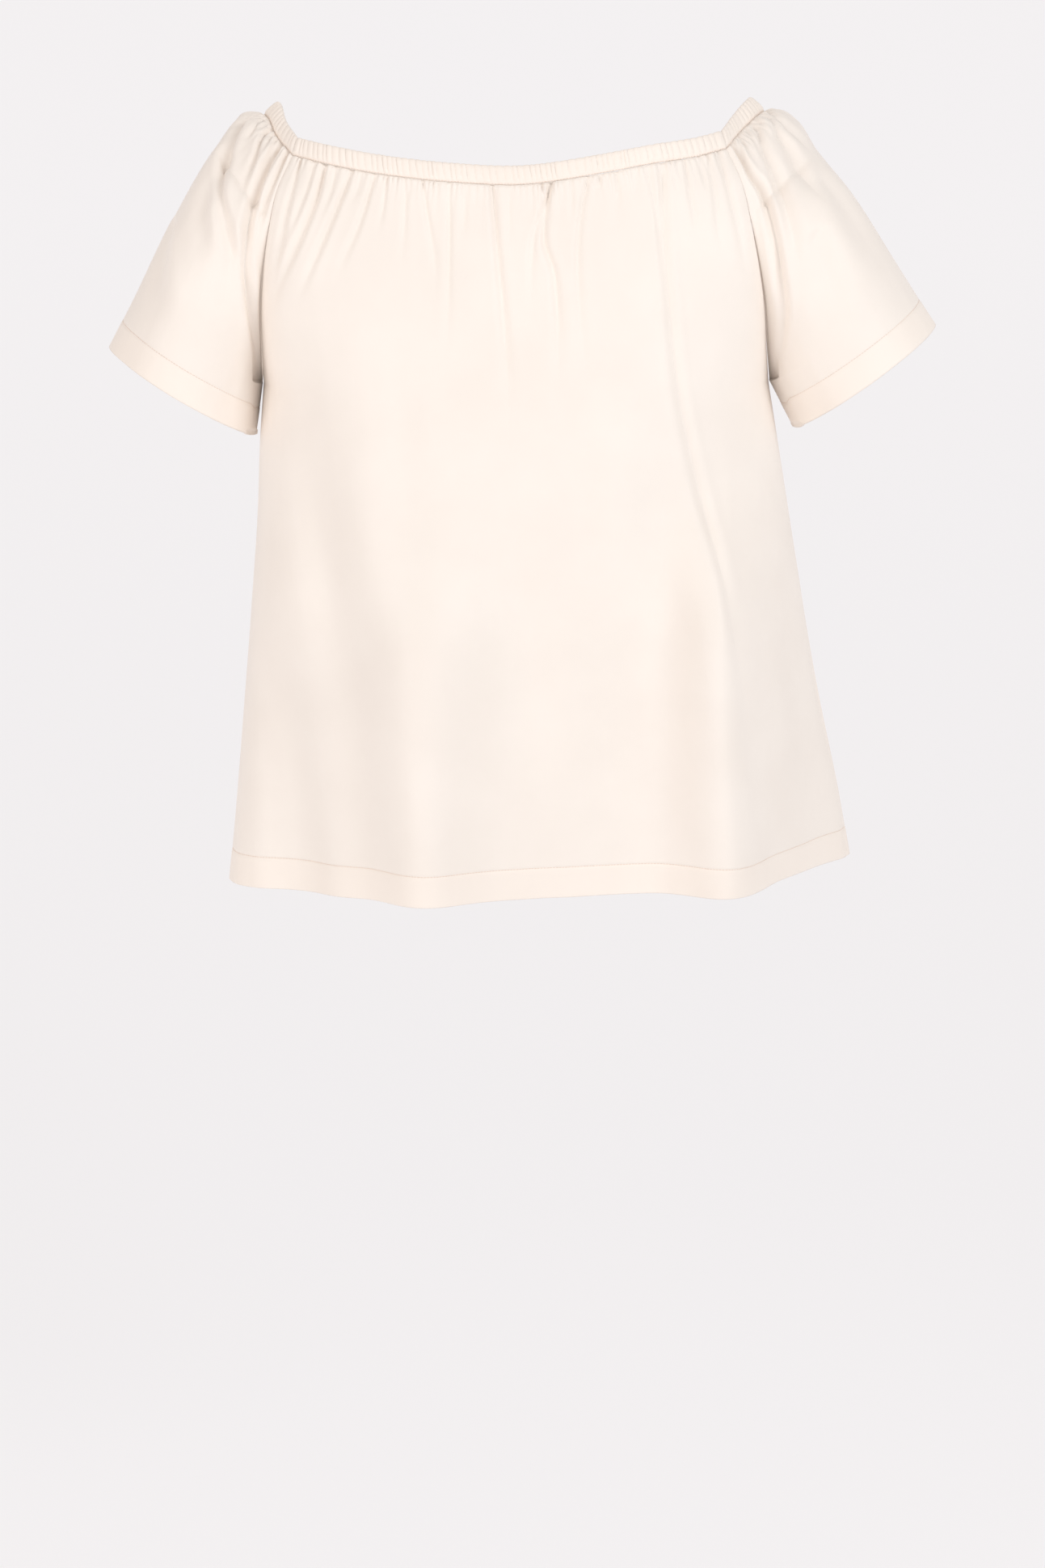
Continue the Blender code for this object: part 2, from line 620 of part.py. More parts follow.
def build_sleeve(hand, neck, raglan_front, raglan_back, sections):
    """A raglan sleeve: one sheet, rolled round the arm, whose edges meet in the underarm seam."""
    rows, neck_up, faces, down, shares = sleeve_rows(
        hand, neck, raglan_front, raglan_back, sections, SLEEVE_COLUMNS)
    out = surface_out(rows, 1.0)
    middle = SLEEVE_COLUMNS // 2
    if out[RAGLAN_ROWS // 2, middle, 0] * (-1 if hand == "left" else 1) < 0:
        out = -out
    neck_across = np.gradient(rows[0], axis=0)
    neck_out = unit(np.cross(neck_up, neck_across))
    neck_out *= np.sign((neck_out * out[0]).sum(-1, keepdims=True))
    out[0] = neck_out
    across = np.broadcast_to(shares[None, :], rows.shape[:2])
    fall = np.broadcast_to(down[:, None], rows.shape[:2])
    push = sleeve_fold_height(across, fall)
    edge = np.minimum(np.arange(SLEEVE_COLUMNS + 1), np.arange(SLEEVE_COLUMNS, -1, -1))
    push *= ease(edge / 1.5)[None]
    rows = rows + out * push[..., None]
    thickness = np.full(len(rows), CLOTH)
    thickness[-2:] = HEM_CLOTH
    out = bend_edges(out, faces["front"], faces["back"])
    outward = -1 if hand == "left" else 1
    rows = part_edges(rows, faces["front"], faces["back"], ((outward, 0, 0), (outward, 0, 0)),
                      ((0, -1, 0), (0, 1, 0)))
    return make_piece("sleeve_" + hand, *close_sheet(*walls(rows, out, thickness)))


def sleeve_fold_height(across, down):
    """The same bell-shaped folds, on a sleeve's own two shares."""
    height = np.zeros_like(across)
    for fold in rows_of(SLEEVE_FOLDS, SLEEVE_FOLD_COLUMNS):
        knots = (fold["down0"], fold["down1"], fold["down2"])
        line = smooth_run(knots, (fold["across0"], fold["across1"], fold["across2"]), down)
        reach = (down - fold["down0"]) / (fold["down2"] - fold["down0"])
        fade = ease(reach / FADE_IN + FADE_START) * ease((1 - reach) / FADE_OUT)
        height -= fold["depth"] * np.exp(-((across - line) / fold["width"]) ** 2) * fade
    return height * MM


def build_casing(place, neck, first_face, last_face):
    """One length of the gathered casing: a flat tunnel with a rib for each gather.

    The ribs stand out and fall back in turn along the neckline, and none is quite as wide or as
    high as the next. Its two ends are cut along the raglan seams, whose facing is given.
    """
    ribs = CASING_RIBS[place]
    steps = np.arange(2 * ribs + 1)
    inside = (steps > 0) & (steps < steps[-1])
    shares = steps / steps[-1] + RIB_WIDTH_CHANGE / steps[-1] * np.sin(steps * 2.3) * inside
    points, up = neck_line(neck, shares)
    across = unit(np.gradient(points, axis=0))
    out = unit(np.cross(up, across))
    out *= np.sign((points[:, :2] * out[:, :2]).sum(-1, keepdims=True))
    for end, face in ((0, first_face), (-1, last_face)):
        face = np.array(face[3:])
        out[end] = unit(face - face.dot(up[end]) * up[end])
        mitre = unit(np.cross(out[end], up[end]))
        across[end] = mitre * np.sign(mitre.dot(across[end]))
    points[0] += across[0] * SEAM_GAP / 2
    points[-1] -= across[-1] * SEAM_GAP / 2
    ridge = np.where(steps % 2 == 1, 1 + RIB_HEIGHT_CHANGE * (np.sin(steps * 1.7) - 1), 0.0)
    raise_out = (CASING_THICKNESS - CLOTH) + RIB_HEIGHT * ridge
    bottom = SEAM_GAP + CHORD_ROOM
    profile = (
        (bottom, 0.0, 0.0),
        (bottom, -CLOTH, 0.0),
        (CASING_WIDTH * 0.5, -CLOTH - 0.4 * MM, 0.0),
        (CASING_WIDTH, -CLOTH * 0.6, 0.0),
        (CASING_WIDTH, CLOTH * 0.2, 0.4),
        (CASING_WIDTH * 0.5, 0.0, 1.0),
        (bottom + 1.5 * MM, 0.0, 0.6),
    )
    rings = [points + up * rise + out * (stand + raise_out * share)[:, None]
             for rise, stand, share in profile]
    ring = np.stack(rings, axis=1)
    count, sides = ring.shape[:2]
    index = np.arange(count * sides).reshape(count, sides)
    after = np.roll(index, -1, axis=1)
    faces = [split_quads(index[:-1], after[:-1], after[1:], index[1:])]
    for row, order in ((index[0], 1), (index[-1], -1)):
        cap = np.array([(row[0], row[2], row[1]), (row[0], row[6], row[2]), (row[6], row[5], row[2]),
                        (row[5], row[3], row[2]), (row[5], row[4], row[3])])
        faces.append(cap[:, ::order])
    return make_piece("casing_" + place, ring.reshape(-1, 3), np.concatenate(faces))


def clear_scene():
    """Removes whatever the new file holds."""
    for old in list(bpy.data.objects):
        bpy.data.objects.remove(old, do_unlink=True)


clear_scene()
build_body_panel("front_panel", NECK_FRONT, RAGLAN_FRONT_LEFT, RAGLAN_FRONT_RIGHT, -1,
                 FRONT_COLUMNS, FRONT_FOLDS, FRONT_SWELLS)
build_body_panel("back_panel", NECK_BACK[::-1], RAGLAN_BACK_LEFT, RAGLAN_BACK_RIGHT, 1,
                 BACK_COLUMNS, BACK_FOLDS, BACK_SWELLS)
build_sleeve("left", NECK_LEFT[::-1], RAGLAN_FRONT_LEFT, RAGLAN_BACK_LEFT, SLEEVE_LEFT_SECTIONS)
build_sleeve("right", NECK_RIGHT, RAGLAN_FRONT_RIGHT, RAGLAN_BACK_RIGHT, SLEEVE_RIGHT_SECTIONS)
build_casing("front", NECK_FRONT, RAGLAN_FRONT_LEFT[0], RAGLAN_FRONT_RIGHT[0])
build_casing("right", NECK_RIGHT, RAGLAN_FRONT_RIGHT[0], RAGLAN_BACK_RIGHT[0])
build_casing("back", NECK_BACK, RAGLAN_BACK_RIGHT[0], RAGLAN_BACK_LEFT[0])
build_casing("left", NECK_LEFT, RAGLAN_BACK_LEFT[0], RAGLAN_FRONT_LEFT[0])
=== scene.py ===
# %% [markdown]
# # An off-the-shoulder blouse in pale blush cloth
#
# The CAD model gives the blouse as closed walls with its large folds. This lesson dresses it: each
# panel becomes a thin shell on the same form, with the fine gathers, creases, seams, hems and
# stitching that sewing and gravity put there. All of it is worked out on grids of rows and columns,
# so every crease has a place and a size that can be read in a table.
#
# Frame: +X to the viewer's right, +Y away from the viewer, +Z up, in metres. Tables are in
# millimetres, as a pattern cutter writes them.

# %% Tools and the CAD model
import math

import bpy
import numpy as np
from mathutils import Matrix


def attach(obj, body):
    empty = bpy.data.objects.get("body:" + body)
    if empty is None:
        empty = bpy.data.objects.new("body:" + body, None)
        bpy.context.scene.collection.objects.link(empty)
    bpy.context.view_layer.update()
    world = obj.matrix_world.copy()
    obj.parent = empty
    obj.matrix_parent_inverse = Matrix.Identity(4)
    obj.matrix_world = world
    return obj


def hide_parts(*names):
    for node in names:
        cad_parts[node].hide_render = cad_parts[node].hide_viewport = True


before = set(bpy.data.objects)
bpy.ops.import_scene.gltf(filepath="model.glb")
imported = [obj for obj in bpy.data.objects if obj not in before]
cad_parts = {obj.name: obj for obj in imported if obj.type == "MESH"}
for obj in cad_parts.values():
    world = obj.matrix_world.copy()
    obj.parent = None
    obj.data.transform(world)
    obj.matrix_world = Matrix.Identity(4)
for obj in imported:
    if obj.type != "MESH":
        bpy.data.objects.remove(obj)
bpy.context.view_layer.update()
print("nodes:", sorted(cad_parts))

# %% [markdown]
# ## Sizes
#
# The cloth is about 0.35 mm thick. Its shell is built 1 mm thick, which reads the same and keeps
# both skins apart in a crease. The hems and the casing are two and more layers.

# %% Sizes
MM = 0.001
SEED = 11
CLOTH = 1.0 * MM
HEM_CLOTH = 1.7 * MM
SEAM_GAP = 0.12 * MM
BODY_HEM = 25.0
SLEEVE_HEM = 24.0
CASING_WIDTH = 15.0
HEM_DROP = 571.0
UNDERARM_DROP = 169.0
RAGLAN_LENGTH = 205.0
BODY_ROW = 520.0
SLEEVE_ROW = 330.0
CLOSE_ROWS = (0, 0.6, 1.3, 2.2, 3.4, 4.8, 6.4, 8.2, 10.2)
FIRST_EVEN_ROW = 12.2
FINE_ROWS_END = 120
FRONT_ROW_STEP = 2.05
BACK_ROW_STEP = 2.9
SLEEVE_ROW_STEP = 1.9
# How far the puffs under the casing stand out, and how long their creases grow.
BODY_GATHERS = {"puff": 1.05, "longest": 46.0}
SLEEVE_GATHERS = {"puff": 1.1, "longest": 60.0}
FRONT_SEED = 31
BACK_SEED = 57
LEFT_SEED = 83
RIGHT_SEED = 97
CASING_SEED = 140

FRONT_RIBS = 72
BACK_RIBS = 66
SLEEVE_RIBS = 26
COLUMNS_PER_RIB = {"front": 6, "back": 4, "sleeve": 10}
CASING_COLUMNS_PER_RIB = 8
CAD_COLUMNS = {"front": 52, "back": 40, "sleeve": 30}

STITCH_PITCH = 2.5
NECK_STITCH_PITCH = 2.4
STITCH_SEED = 5
STITCH_LENGTH = 1.9
STITCH_RADIUS = 0.24

# %% [markdown]
# ## Tables of the form
#
# These are the part's own tables, so that the dressed cloth stays on its solid: the neckline under
# the casing, the four raglan seams, the side seams, and sections of the body and the sleeves.

# %% Tables of the form
NECK_COLUMNS = ("x", "y", "z", "lean_x", "lean_y")
NECK_FRONT = (
    (-175, -62, 9, 0.28, 0.40),
    (-152, -76, 3, 0.15, 0.30),
    (-101, -92, -6.5, 0.05, 0.26),
    (-50, -99, -12, 0.00, 0.26),
    (0, -100, -14, 0.00, 0.26),
    (67, -97, -5, -0.02, 0.26),
    (102, -89, 1.5, -0.08, 0.26),
    (141, -75, 8, -0.15, 0.30),
    (163, -62, 14, -0.28, 0.40),
)
NECK_RIGHT = (
    (163, -62, 14, -0.28, 0.40),
    (176, -35, 28, -0.42, 0.40),
    (191, -10, 41, -0.62, 0.15),
    (197, 10, 44, -0.78, -0.10),
    (192, 38, 27, -0.60, -0.35),
    (178, 62, 5, -0.30, -0.40),
)
NECK_BACK = (
    (178, 62, 5, -0.30, -0.40),
    (140, 82, -8, -0.10, -0.30),
    (70, 97, -20, 0.00, -0.26),
    (0, 101, -25, 0.00, -0.26),
    (-70, 98, -22, 0.00, -0.26),
    (-145, 82, -10, 0.10, -0.30),
    (-186, 62, 2, 0.30, -0.40),
)
NECK_LEFT = (
    (-186, 62, 2, 0.30, -0.40),
    (-198, 38, 24, 0.60, -0.35),
    (-202, 10, 41, 0.78, -0.10),
    (-197, -10, 38, 0.70, 0.15),
    (-189, -35, 24, 0.50, 0.35),
    (-175, -62, 9, 0.28, 0.40),
)

RAGLAN_COLUMNS = ("x", "y", "z", "face_x", "face_y", "face_z")
RAGLAN_FRONT_LEFT = (
    (-175, -62, 9, -0.28, -0.80, 0.40),
    (-187, -73, -19, -0.25, -0.95, 0.20),
    (-194, -71, -50, -0.20, -1.00, 0.00),
    (-201, -55, -97, -0.10, -0.95, -0.25),
    (-203, -26, -146, -0.05, -0.70, -0.70),
    (-204, 0, -170, 0.00, 0.00, -1.00),
)
RAGLAN_FRONT_RIGHT = (
    (163, -62, 14, 0.28, -0.80, 0.40),
    (174, -72, -10, 0.25, -0.95, 0.20),
    (184, -71, -50, 0.20, -1.00, 0.00),
    (194, -55, -100, 0.10, -0.95, -0.25),
    (199, -26, -146, 0.05, -0.70, -0.70),
    (202, 0, -168, 0.00, 0.00, -1.00),
)
RAGLAN_BACK_RIGHT = (
    (178, 62, 5, 0.28, 0.80, 0.40),
    (187, 75, -20, 0.25, 0.95, 0.20),
    (194, 76, -55, 0.20, 1.00, 0.00),
    (200, 60, -103, 0.10, 0.95, -0.25),
    (202, 28, -148, 0.05, 0.70, -0.70),
    (202, 0, -168, 0.00, 0.00, -1.00),
)
RAGLAN_BACK_LEFT = (
    (-186, 62, 2, -0.28, 0.80, 0.40),
    (-193, 75, -22, -0.25, 0.95, 0.20),
    (-199, 76, -57, -0.20, 1.00, 0.00),
    (-203, 60, -104, -0.10, 0.95, -0.25),
    (-204, 28, -149, -0.05, 0.70, -0.70),
    (-204, 0, -170, 0.00, 0.00, -1.00),
)

SIDE_COLUMNS = ("z", "left_x", "left_y", "right_x", "right_y")
SIDE_SEAMS = (
    (-169, -204, 0, 202, 0),
    (-215, -207, 0, 210, 8),
    (-268, -209, -2, 219.5, 20),
    (-354, -215.5, -6, 235, 38),
    (-424, -221.5, -10, 249, 53),
    (-516, -229.5, -17, 270, 71),
    (-571, -235, -20, 281, 85),
)

SECTION_COLUMNS = ("down", "front", "front_square", "back", "back_square")
BODY_SECTIONS = (
    (0.00, 100, 2.0, 101, 2.0),
    (0.18, 118, 2.1, 116, 2.0),
    (0.32, 130, 2.2, 113, 2.1),
    (0.45, 131, 2.25, 115, 2.2),
    (0.65, 126, 2.2, 125, 2.2),
    (0.85, 116, 2.05, 131, 2.2),
    (1.00, 108, 2.0, 136, 2.2),
)
ARM_LEVEL = -150.0
ARM_CALM = 70.0
CALM_REACH = 34.0
EDGE_SHARE = 0.22
NECK_PULL = 0.45

SLEEVE_SECTION_COLUMNS = ("down", "outer_x", "outer_y", "outer_z", "front", "back", "square")
SLEEVE_LEFT_SECTIONS = (
    (0.00, -202, 6, 43, 61, 60, 2.0),
    (0.05, -214, 4, 44, 64, 62, 2.0),
    (0.11, -224, 4, 38, 66, 64, 2.0),
    (0.22, -240, 3, 17, 72, 70, 2.05),
    (0.45, -269, 2, -31, 76, 74, 2.1),
    (0.72, -298, 0, -87, 76, 74, 2.0),
    (1.00, -327, 0, -141, 76, 72, 1.85),
)
SLEEVE_RIGHT_SECTIONS = (
    (0.00, 197, 6, 45, 61, 60, 2.0),
    (0.05, 211, 4, 45, 64, 62, 2.0),
    (0.11, 223, 4, 37, 66, 64, 2.0),
    (0.22, 238, 3, 15, 72, 70, 2.05),
    (0.45, 267, 2, -22, 76, 74, 2.1),
    (0.72, 299.5, 0, -71, 74, 72, 2.0),
    (1.00, 335, 0, -124, 72, 70, 1.85),
)
UNDERARM_END = {"left": (-210, 0, -212), "right": (222, 0, -206)}
SLEEVE_CORE_TOP = {"left": (-160, 0, -36), "right": (155, 0, -36)}
SLEEVE_FRONT_DIP = 2.0
UNDERARM_SPREAD = 0.3
UNDERARM_SPREAD_REACH = 20.0

# %% [markdown]
# ## Tables of the folds
#
# A trough or a swell runs down the cloth along a bent line. It is given as x and z in millimetres
# where the line starts, passes and ends, then half its width and its depth. Narrow folds of the back
# have a thin crease at the bottom, whose depth comes last.

# %% Tables of the folds
TROUGH_COLUMNS = ("x0", "z0", "x1", "z1", "x2", "z2", "width", "depth")
FRONT_TROUGHS = (
    (-175, -130, -143, -370, -118, -571, 22.0, 9.0),
    (-16, -200, 8, -390, 20, -500, 24.0, 5.0),
    (100, -180, 115, -330, 128, -480, 22.0, 4.0),
    (-181, -400, -174, -470, -163, -571, 13.0, 3.0),
    (48, -150, 52, -260, 56, -380, 16.0, 2.2),
    (-100, -110, -88, -260, -74, -430, 20.0, 2.4),
    (150, -170, 176, -360, 214, -571, 15.0, 3.0),
    (-50, -420, -42, -500, -38, -571, 20.0, 2.0),
)
FRONT_SWELLS = (
    (-75, -260, -73, -430, -72, -571, 46, 32.0),
    (160, -230, 165, -420, 172, -571, 42, 60.0),
    (-192, -330, -186, -470, -180, -571, 32, -20.0),
    (238, -330, 247, -470, 255, -571, 24, -16.0),
    (70, -150, 80, -300, 84, -420, 30, 4.0),
)
BACK_TROUGHS = (
    (-120, -200, -132, -380, -142, -571, 26.0, 9.5),
    (120, -180, 142, -380, 160, -571, 26.0, 9.5),
    (10, -300, 14, -440, 20, -571, 24.0, 6.6),
)
BACK_SWELLS = (
    (-56, -260, -62, -420, -66, -571, 40, 14.0),
    (84, -260, 92, -420, 100, -571, 40, 14.0),
)
NARROW_COLUMNS = TROUGH_COLUMNS + ("crease",)
BACK_NARROW = (
    (-160, 0, -172, -60, -186, -120, 5.0, 2.8, 1.0),
    (-136, -6, -152, -60, -166, -110, 5.0, 2.4, 0.9),
    (-108, -12, -116, -80, -124, -160, 5.0, 2.4, 0.9),
    (-84, -16, -88, -60, -92, -110, 4.0, 2.0, 0.7),
    (-60, -20, -58, -110, -62, -230, 6.0, 3.2, 1.0),
    (-34, -23, -36, -70, -38, -120, 4.0, 2.0, 0.7),
    (-8, -25, -2, -90, -6, -170, 5.0, 2.4, 0.9),
    (20, -24, 24, -140, 30, -300, 6.0, 3.2, 0.9),
    (46, -22, 46, -70, 44, -120, 4.0, 2.0, 0.7),
    (72, -20, 78, -100, 86, -190, 5.0, 2.8, 0.9),
    (100, -15, 106, -60, 110, -110, 4.0, 2.0, 0.7),
    (124, -9, 136, -70, 148, -140, 5.0, 2.4, 0.9),
    (150, -2, 166, -60, 180, -120, 5.0, 2.8, 1.0),
    (-146, -2, -160, -40, -172, -80, 2.2, 0.5, 0.8),
    (-96, -13, -102, -44, -106, -78, 2.2, 0.5, 0.8),
    (-20, -24, -20, -58, -22, -92, 2.4, 0.5, 0.7),
    (34, -23, 35, -52, 36, -86, 2.4, 0.5, 0.7),
    (86, -17, 92, -48, 96, -84, 2.2, 0.5, 0.8),
    (138, -5, 150, -44, 162, -84, 2.2, 0.5, 0.8),
)

# A listed crease: the points that it runs through, its half width, the depth of its soft
# trough and of the thin line at its bottom, in mm. On the front the points are x and z.
CREASE_COLUMNS = ("points", "width", "trough", "line")
FRONT_CREASES = (
    (((-168, 5), (-177, -28), (-186, -70), (-194, -112)), 2.6, 1.2, 1.2),
    (((-157, 3), (-163, -18), (-172, -40), (-178, -56)), 2.0, 0.8, 1.3),
    (((-149, 2), (-156, -26), (-167, -52), (-188, -98), (-195, -122)), 3.0, 2.0, 1.7),
    (((-140, 0), (-146, -24), (-155, -42)), 1.8, 0.5, 1.2),
    (((-128, -3), (-137, -26), (-151, -58), (-166, -92), (-174, -112)), 2.8, 1.8, 1.5),
    (((-120, -5), (-124, -20), (-130, -32)), 1.8, 0.4, 1.1),
    (((-110, -7), (-122, -44), (-134, -72), (-141, -92)), 2.6, 1.2, 1.2),
    (((-100, -8), (-103, -30), (-108, -56)), 2.0, 0.6, 1.0),
    (((-86, -9), (-86, -30), (-88, -66), (-90, -84)), 2.4, 0.7, 0.9),
    (((-73, -11), (-68, -42), (-63, -72), (-62, -104)), 2.6, 0.9, 0.9),
    (((-52, -12), (-52, -60), (-53, -110), (-55, -160)), 2.8, 1.0, 1.0),
    (((-40, -13), (-40, -34), (-42, -62)), 2.0, 0.5, 0.8),
    (((-19, -14), (-16, -52), (-11, -104), (-7, -160), (-5, -216)), 3.4, 1.9, 1.5),
    (((-5, -14), (-6, -40), (-6, -66)), 2.0, 0.5, 0.7),
    (((18, -11), (20, -24), (19, -34)), 2.0, 0.6, 1.4),
    (((27, -10), (22, -26), (14, -50), (11, -92), (12, -122)), 2.6, 1.0, 1.0),
    (((26, -9), (22, -36), (21, -56), (28, -78), (31, -108), (32, -182)), 3.2, 1.8, 1.4),
    (((42, -8), (42, -30), (44, -56)), 2.0, 0.4, 0.7),
    (((55, -6), (50, -30), (47, -60), (48, -104), (56, -176)), 2.8, 1.1, 1.0),
    (((66, -4), (62, -14), (59, -24)), 2.0, 0.4, 0.9),
    (((77, -3), (78, -20), (78, -36)), 2.0, 0.5, 1.0),
    (((91, -1), (92, -12), (93, -24)), 1.8, 0.4, 0.8),
    (((100, 1), (104, -18), (110, -60), (111, -96)), 2.6, 0.8, 0.9),
    (((112, 3), (113, -46), (117, -100), (126, -176), (142, -246), (166, -330), (188, -470), (192, -560)),
     4.2, 1.9, 0.9),
    (((129, 6), (133, -18), (137, -40), (139, -62)), 2.2, 0.7, 1.1),
    (((141, 8), (145, -10), (149, -24)), 1.8, 0.5, 1.1),
    (((147, 9), (152, -16), (156, -48), (160, -72)), 2.4, 0.8, 1.1),
    (((156, 11), (164, -18), (172, -50), (180, -96)), 2.6, 1.0, 1.0),
)
# On a sleeve they are shares: across is 0 at the front seam and 1 at the back, and down is 0 at the
# neckline and 1 at the hem. Those past 0.5 are out of the photograph's sight.
LEFT_CREASES = (
    (((0.29, 0.0), (0.235, 0.06), (0.185, 0.12), (0.167, 0.24)), 3.2, 2.4, 1.6),
    (((0.39, 0.01), (0.31, 0.07), (0.29, 0.14)), 2.4, 1.3, 1.3),
    (((0.51, 0.0), (0.44, 0.05), (0.424, 0.1)), 2.2, 1.0, 1.2),
    (((0.133, 0.0), (0.11, 0.1), (0.097, 0.18), (0.083, 0.28), (0.062, 0.44), (0.04, 0.61), (0.022, 0.86)),
     5.0, 5.2, 1.2),
    (((0.045, 0.0), (0.03, 0.12), (0.04, 0.22), (0.037, 0.33), (0.028, 0.42)), 3.0, 2.2, 1.4),
    (((0.445, 0.07), (0.347, 0.17), (0.267, 0.26), (0.167, 0.35), (0.123, 0.41), (0.137, 0.54), (0.18, 0.72)),
     9.0, 4.6, 0.5),
    (((0.307, 0.2), (0.29, 0.32), (0.245, 0.45), (0.26, 0.6)), 12.0, 3.6, 0.0),
    (((0.43, 0.5), (0.37, 0.67), (0.35, 0.84)), 14.0, 3.2, 0.0),
    (((0.183, 0.0), (0.13, 0.08), (0.117, 0.15)), 2.2, 1.0, 1.2),
    (((0.23, 0.0), (0.19, 0.05), (0.175, 0.09)), 1.8, 0.6, 1.0),
    (((0.34, 0.0), (0.3, 0.04), (0.282, 0.07)), 1.8, 0.6, 1.0),
    (((0.56, 0.0), (0.58, 0.14), (0.59, 0.34), (0.585, 0.55)), 5.0, 2.4, 0.9),
    (((0.62, 0.0), (0.64, 0.08), (0.65, 0.17)), 2.2, 0.9, 1.1),
    (((0.69, 0.0), (0.7, 0.2), (0.72, 0.44), (0.715, 0.72)), 7.0, 3.6, 0.9),
    (((0.76, 0.0), (0.78, 0.1), (0.79, 0.22)), 2.4, 1.0, 1.1),
    (((0.83, 0.0), (0.845, 0.18), (0.86, 0.4), (0.855, 0.66)), 6.0, 3.8, 1.0),
    (((0.9, 0.0), (0.91, 0.1), (0.915, 0.24)), 2.4, 1.0, 1.1),
    (((0.955, 0.0), (0.945, 0.3), (0.95, 0.6), (0.965, 0.86)), 5.0, 4.6, 1.0),
)
RIGHT_CREASES = (
    (((0.06, 0.0), (0.062, 0.06), (0.058, 0.11), (0.08, 0.19), (0.076, 0.27), (0.07, 0.35), (0.066, 0.45),
      (0.074, 0.6), (0.06, 0.8)), 4.2, 4.6, 1.5),
    (((0.297, 0.01), (0.2, 0.09), (0.167, 0.17), (0.142, 0.27), (0.128, 0.38), (0.135, 0.49), (0.16, 0.6)),
     5.5, 3.0, 0.9),
    (((0.4, 0.02), (0.317, 0.09), (0.287, 0.16), (0.264, 0.23), (0.264, 0.31), (0.29, 0.42)), 5.5, 2.6, 0.9),
    (((0.513, 0.0), (0.42, 0.04), (0.372, 0.1), (0.378, 0.16), (0.384, 0.24)), 5.0, 2.0, 1.0),
    (((0.155, 0.0), (0.112, 0.07), (0.1, 0.12)), 2.0, 0.8, 1.0),
    (((0.227, 0.01), (0.178, 0.07), (0.157, 0.13)), 2.2, 0.9, 1.0),
    (((0.345, 0.0), (0.28, 0.06), (0.25, 0.11)), 2.2, 0.8, 0.9),
    (((0.19, 0.44), (0.22, 0.62), (0.253, 0.8)), 13.0, 2.6, 0.0),
    (((0.33, 0.3), (0.34, 0.5), (0.38, 0.74)), 12.0, 2.2, 0.0),
    (((0.12, 0.0), (0.09, 0.04), (0.082, 0.08)), 1.8, 0.6, 0.9),
    (((0.56, 0.0), (0.585, 0.12), (0.6, 0.32), (0.595, 0.52)), 5.0, 2.4, 0.9),
    (((0.63, 0.0), (0.65, 0.08), (0.66, 0.16)), 2.2, 0.9, 1.1),
    (((0.68, 0.0), (0.7, 0.22), (0.71, 0.46), (0.7, 0.7)), 7.0, 3.4, 0.8),
    (((0.75, 0.0), (0.77, 0.1), (0.778, 0.2)), 2.4, 1.0, 1.1),
    (((0.81, 0.0), (0.835, 0.18), (0.85, 0.42), (0.84, 0.68)), 6.0, 3.6, 0.9),
    (((0.89, 0.0), (0.9, 0.1), (0.905, 0.22)), 2.4, 1.0, 1.1),
    (((0.95, 0.0), (0.94, 0.3), (0.948, 0.6), (0.962, 0.86)), 5.0, 4.4, 1.0),
)

# %% [markdown]
# ## Curves and surfaces
#
# A curve goes through the points of a table with the slope of its neighbours. A surface is a stack
# of such curves, one for each row from the neckline to the hem.

# %% Curves


def column(table, columns, name):
    """One named column of a table, as an array."""
    return np.array(table, float)[:, columns.index(name)]


def smooth_run(knots, values, at):
    """A curve through values at knots. Each slope is the average of the two sides of its knot, and
    between two knots the curve is the cubic that has both their values and both their slopes."""
    knots = np.asarray(knots, float)
    values = np.asarray(values, float)
    slope = np.gradient(values, knots, axis=0)
    at = np.clip(np.asarray(at, float), knots[0], knots[-1])
    k = np.clip(np.searchsorted(knots, at, side="right") - 1, 0, len(knots) - 2)
    span = knots[k + 1] - knots[k]
    f = (at - knots[k]) / span
    if values.ndim > 1:
        f = f[..., None]
        span = span[..., None]
    start = (1 + 2 * f) * (1 - f) ** 2 * values[k] + f * (1 - f) ** 2 * span * slope[k]
    end = f * f * (3 - 2 * f) * values[k + 1] - f * f * (1 - f) * span * slope[k + 1]
    return start + end


def ease(value):
    """Rises smoothly from 0 to 1: three times the square less twice the cube."""
    value = np.clip(value, 0.0, 1.0)
    return value * value * (3 - 2 * value)


def unit(vectors):
    """Vectors scaled to length 1."""
    return vectors / np.maximum(np.linalg.norm(vectors, axis=-1, keepdims=True), 1e-9)


def along(points):
    """How far along a line of points each one lies, from 0 to 1."""
    steps = np.linalg.norm(np.diff(points, axis=-2), axis=-1)
    run = np.concatenate([np.zeros(steps.shape[:-1] + (1,)), np.cumsum(steps, axis=-1)], axis=-1)
    return run / run[..., -1:]


def run_through(table, at):
    """A smooth line through the points of a table, at the given shares of its length."""
    values = np.array(table, float)
    values[:, :3] *= MM
    dense = np.linspace(0, 1, 400)
    line = smooth_run(along(values[:, :3]), values, dense)
    share = along(line[:, :3])
    picked = np.stack([np.interp(at, share, line[:, i]) for i in range(line.shape[1])], axis=-1)
    return picked[..., :3], picked[..., 3:]


def neck_line(table, at):
    """Points under the casing, and the way the casing rises from each."""
    points, lean = run_through(table, at)
    up = np.sqrt(np.maximum(1 - (lean ** 2).sum(axis=-1, keepdims=True), 0.04))
    return points, unit(np.concatenate([lean, up], axis=-1))


def signed_power(base, power):
    """The power of a number's size, with its sign kept."""
    return np.sign(base) * np.abs(base) ** power


def even_row(row, shares):
    """The same row, read at the given shares of its length."""
    share = along(row)
    return np.stack([np.interp(shares, share, row[:, i]) for i in range(3)], axis=-1)


